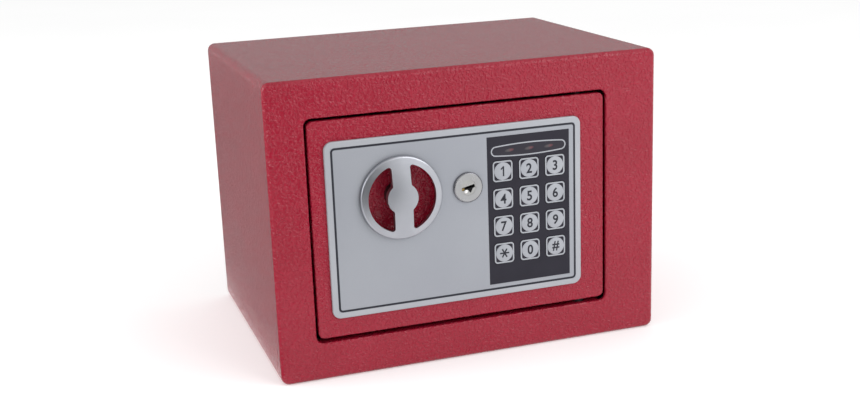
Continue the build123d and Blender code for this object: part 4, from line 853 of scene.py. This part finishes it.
def spring_mesh(foot, tip):
    """Conical wire spring between two points on a line along X."""
    count = int(SPRING_TURNS * SPRING_STEPS)
    points = []
    for index in range(count + 1):
        part = index / count
        angle = 2 * math.pi * SPRING_TURNS * part
        reach = SPRING_FOOT_R + (SPRING_TIP_R - SPRING_FOOT_R) * part
        outward = Vector((0, math.cos(angle), math.sin(angle)))
        centre = Vector((foot[0] + (tip[0] - foot[0]) * part, foot[1], foot[2])) + reach * outward
        for side in range(SPRING_SIDES):
            turn = 2 * math.pi * side / SPRING_SIDES
            around = outward * math.cos(turn) + Vector((1, 0, 0)) * math.sin(turn)
            points.append(centre + SPRING_WIRE_R * around)
    faces = []
    for index in range(count):
        for side in range(SPRING_SIDES):
            after = (side + 1) % SPRING_SIDES
            a, b = index * SPRING_SIDES, (index + 1) * SPRING_SIDES
            faces.append((a + side, a + after, b + after, b + side))
    faces.append(tuple(range(SPRING_SIDES)))
    faces.append(tuple(range(count * SPRING_SIDES, (count + 1) * SPRING_SIDES)))
    return mesh_of("spring", points, faces)


def make_contacts():
    """Plated contacts: a plate at each end of each cell, and a spring on the one at its flat end."""
    for index, (y, z, side) in enumerate(cell_places(), 1):
        wall_x = {1: BOX_LOW.x + BOX_WALL, -1: BOX_HIGH.x - BOX_WALL}
        flat_x, cap_x = wall_x[side], wall_x[-side]
        plate_t = CONTACT_T * side
        for name, x, inward in (("spring_plate", flat_x, plate_t), ("cap_plate", cap_x, -plate_t)):
            low = (min(x, x + inward), y - CONTACT_HALF, z - CONTACT_HALF)
            high = (max(x, x + inward), y + CONTACT_HALF, z + CONTACT_HALF)
            mesh = block(name, low, high, CONTACT_BEVEL, 2)
            finish_piece(f"{name}_{index}", mesh, "door", "zinc_steel", "bolt_steel")
        foot = (flat_x + plate_t, y, z)
        tip = (flat_x + side * SPRING_REACH, y, z)
        mesh = spring_mesh(foot, tip)
        finish_piece(f"contact_spring_{index}", mesh, "door", "zinc_steel", "bolt_steel")


def make_lid_ribs():
    """Grip ribs across the top of the battery lid."""
    middle = (LID_LOW.x + LID_HIGH.x) / 2
    for index in range(RIB_COUNT):
        z = LID_HIGH.z - RIB_TOP_GAP - index * RIB_PITCH
        low = (middle - RIB_HALF_L, LID_FACE_Y - RIB_ROOT, z - RIB_W / 2)
        high = (middle + RIB_HALF_L, LID_FACE_Y + RIB_RISE, z + RIB_W / 2)
        mesh = block("rib", low, high, RIB_BEVEL)
        finish_piece(f"lid_rib_{index + 1}", mesh, "battery_lid", "black_plastic")


make_cells()
make_contacts()
make_lid_ribs()


# ---- Felt mat ------------------------------------------------------------------------------------------
MAT_HOLES = [(-55.0, 0.0), (55.0, 0.0)]
MAT_HOLE_R = 6.0
MAT_COLUMNS = 110
MAT_ROWS = 78
# Grid points between these shares of a hole's radius are drawn onto its edge.
MAT_PULL_FROM = 0.6
MAT_PULL_TO = 1.12
MAT_HOLE_CLEAR = 0.98
# The felt lies MAT_LIFT above the foot of its CAD solid and is MAT_ROOM thinner. Its edge is rounded
# down by MAT_EDGE_SAG over about MAT_EDGE_W, and slow waves as high as MAT_LIE run across it.
MAT_LIFT = 0.02
MAT_ROOM = 0.25
MAT_EDGE_SAG = 0.7
MAT_EDGE_W = 0.9
MAT_LIE = 0.10
MAT_WAVE_X = 17.0
MAT_WAVE_Y = 13.0
MAT_WAVE_SHIFT = 0.6


def mat_point(i, j):
    """A point of the mat's grid, drawn onto a hole's edge where it lies close to one."""
    x = MAT_LOW.x + (MAT_HIGH.x - MAT_LOW.x) * i / MAT_COLUMNS
    y = MAT_LOW.y + (MAT_HIGH.y - MAT_LOW.y) * j / MAT_ROWS
    for hole_x, hole_y in MAT_HOLES:
        away = math.hypot(x - hole_x, y - hole_y)
        if MAT_HOLE_R * MAT_PULL_FROM < away < MAT_HOLE_R * MAT_PULL_TO:
            x = hole_x + (x - hole_x) * MAT_HOLE_R / away
            y = hole_y + (y - hole_y) * MAT_HOLE_R / away
    return Vector((x, y, MAT_LOW.z + MAT_LIFT))


def make_mat():
    """Felt mat on the floor of the safe, with soft edges and a slight lie of its own."""
    shape = bmesh.new()
    grid = {}
    for i in range(MAT_COLUMNS + 1):
        for j in range(MAT_ROWS + 1):
            grid[i, j] = shape.verts.new(mat_point(i, j) * MM)
    for i in range(MAT_COLUMNS):
        for j in range(MAT_ROWS):
            corners = [grid[i, j], grid[i + 1, j], grid[i + 1, j + 1], grid[i, j + 1]]
            middle = sum((corner.co for corner in corners), Vector()) / 4 / MM
            clear = MAT_HOLE_R * MAT_HOLE_CLEAR
            if all(math.hypot(middle.x - x, middle.y - y) > clear for x, y in MAT_HOLES):
                shape.faces.new(corners)
    bmesh.ops.delete(shape, geom=[v for v in shape.verts if not v.link_faces], context="VERTS")
    thickness = MAT_HIGH.z - MAT_LOW.z - MAT_ROOM
    grown = bmesh.ops.extrude_face_region(shape, geom=list(shape.faces))
    for vert in (v for v in grown["geom"] if isinstance(v, bmesh.types.BMVert)):
        x, y = vert.co.x / MM, vert.co.y / MM
        edge = min(x - MAT_LOW.x, MAT_HIGH.x - x, y - MAT_LOW.y, MAT_HIGH.y - y)
        sag = MAT_EDGE_SAG * math.exp(-edge / MAT_EDGE_W)
        lie = MAT_LIE * math.sin(x / MAT_WAVE_X) * math.sin(y / MAT_WAVE_Y + MAT_WAVE_SHIFT)
        vert.co.z += (thickness - sag + lie) * MM
    bmesh.ops.recalc_face_normals(shape, faces=shape.faces)
    mesh = bpy.data.meshes.new("felt_mat")
    shape.to_mesh(mesh)
    shape.free()
    piece = finish_piece("felt_mat", mesh, "safe_body", "grey_felt", smooth_deg=60.0)
    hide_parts("floor_mat")


make_mat()


# ---- Stage, light and backdrop: places in metres -------------------------------------------------------
FLOOR_HALF = 6.0
FLOOR_GLOW = 0.25
SKY_STRENGTH = 0.78
DARK_FLOOR = [(-2.4, -0.33), (0.00, -0.34), (0.22, -0.75), (0.60, -2.0), (-2.4, -2.0)]
FRONT_CARD = [(-2.4, -2.0), (0.30, -2.0)]
FRONT_CARD_TOP = 0.6
STRIP_CARD = [(0.30, -2.0), (1.05, -2.0)]
STRIP_CARD_TOP = 0.42
SIDE_FLOOR = [(-1.4, -0.10), (-0.118, -0.10), (-0.118, 1.6), (-1.4, 1.6)]
BACK_CARD = [(-1.5, 1.2), (1.5, 1.2)]
BACK_CARD_TOP = 1.5
CARD_LIFT = 0.002


def flat_mesh(name, points):
    """Mesh of one flat face."""
    mesh = bpy.data.meshes.new(name)
    mesh.from_pydata(points, [], [tuple(range(len(points)))])
    return mesh


def lying_card(corners):
    """Corners of a card that lies just above the floor."""
    return [(x, y, CARD_LIFT) for x, y in corners]


def upright_card(foot, top):
    """Corners of a standing card above two points of the floor."""
    return [(x, y, 0.0) for x, y in foot] + [(x, y, top) for x, y in reversed(foot)]


def make_floor():
    """Plain pale floor that glows faintly, so that it stays white to the horizon."""
    half = FLOOR_HALF
    mesh = flat_mesh("floor", [(-half, -half, 0), (half, -half, 0), (half, half, 0), (-half, half, 0)])
    floor = bpy.data.objects.new("floor", mesh)
    bpy.context.scene.collection.objects.link(floor)
    n = Nodes("floor_paint")
    tone = n.mix(n.remap(n.noise(300.0), 0.3, 0.7), (0.87, 0.87, 0.87), (0.89, 0.89, 0.89))
    n.shader.inputs["Emission Color"].default_value = (1.0, 1.0, 1.0, 1.0)
    n.shader.inputs["Emission Strength"].default_value = FLOOR_GLOW
    mesh.materials.append(n.surface(tone, 0.7, specular=0.0))


def make_card(name, points, shade):
    """Studio card that only reflections see: it shapes the gloss and leaves the plain floor plain."""
    card = bpy.data.objects.new(name, flat_mesh(name, points))
    bpy.context.scene.collection.objects.link(card)
    material = bpy.data.materials.new(name)
    material.use_nodes = True
    tree = material.node_tree
    tree.nodes.remove(tree.nodes["Principled BSDF"])
    glow = tree.nodes.new("ShaderNodeEmission")
    glow.inputs["Color"].default_value = (shade, shade, shade, 1.0)
    tree.links.new(glow.outputs[0], tree.nodes["Material Output"].inputs["Surface"])
    card.data.materials.append(material)
    card.visible_camera = False
    card.visible_diffuse = False
    card.visible_shadow = False
    card.visible_transmission = False


def make_world():
    """Even white light from all round."""
    world = bpy.data.worlds.new("studio")
    bpy.context.scene.world = world
    world.use_nodes = True
    world.node_tree.nodes["Background"].inputs["Color"].default_value = (1.0, 1.0, 1.0, 1.0)
    world.node_tree.nodes["Background"].inputs["Strength"].default_value = SKY_STRENGTH


def add_softbox(name, at, aim, width, height, power):
    """Soft light of a given size, aimed at a place."""
    data = bpy.data.lights.new(name, "AREA")
    data.shape = "RECTANGLE"
    data.size = width
    data.size_y = height
    data.energy = power
    light = bpy.data.objects.new(name, data)
    bpy.context.scene.collection.objects.link(light)
    light.location = at
    light.rotation_euler = (Vector(aim) - Vector(at)).to_track_quat("-Z", "Y").to_euler()


make_floor()
make_world()
make_card("dark_floor_card", lying_card(DARK_FLOOR), shade=0.03)
make_card("front_card", upright_card(FRONT_CARD, FRONT_CARD_TOP), shade=0.04)
make_card("strip_card", upright_card(STRIP_CARD, STRIP_CARD_TOP), shade=2.0)
make_card("side_floor_card", lying_card(SIDE_FLOOR), shade=0.23)
make_card("back_card", upright_card(BACK_CARD, BACK_CARD_TOP), shade=0.38)
add_softbox("key_light", (0.60, -0.82, 0.70), aim=(0, 0, 0.1), width=0.9, height=0.7, power=5.6)
add_softbox("fill_light", (-1.6, 0.15, 0.55), aim=(-0.1, 0, 0.1), width=0.8, height=0.8, power=12.5)
bpy.context.scene.view_settings.view_transform = "Standard"
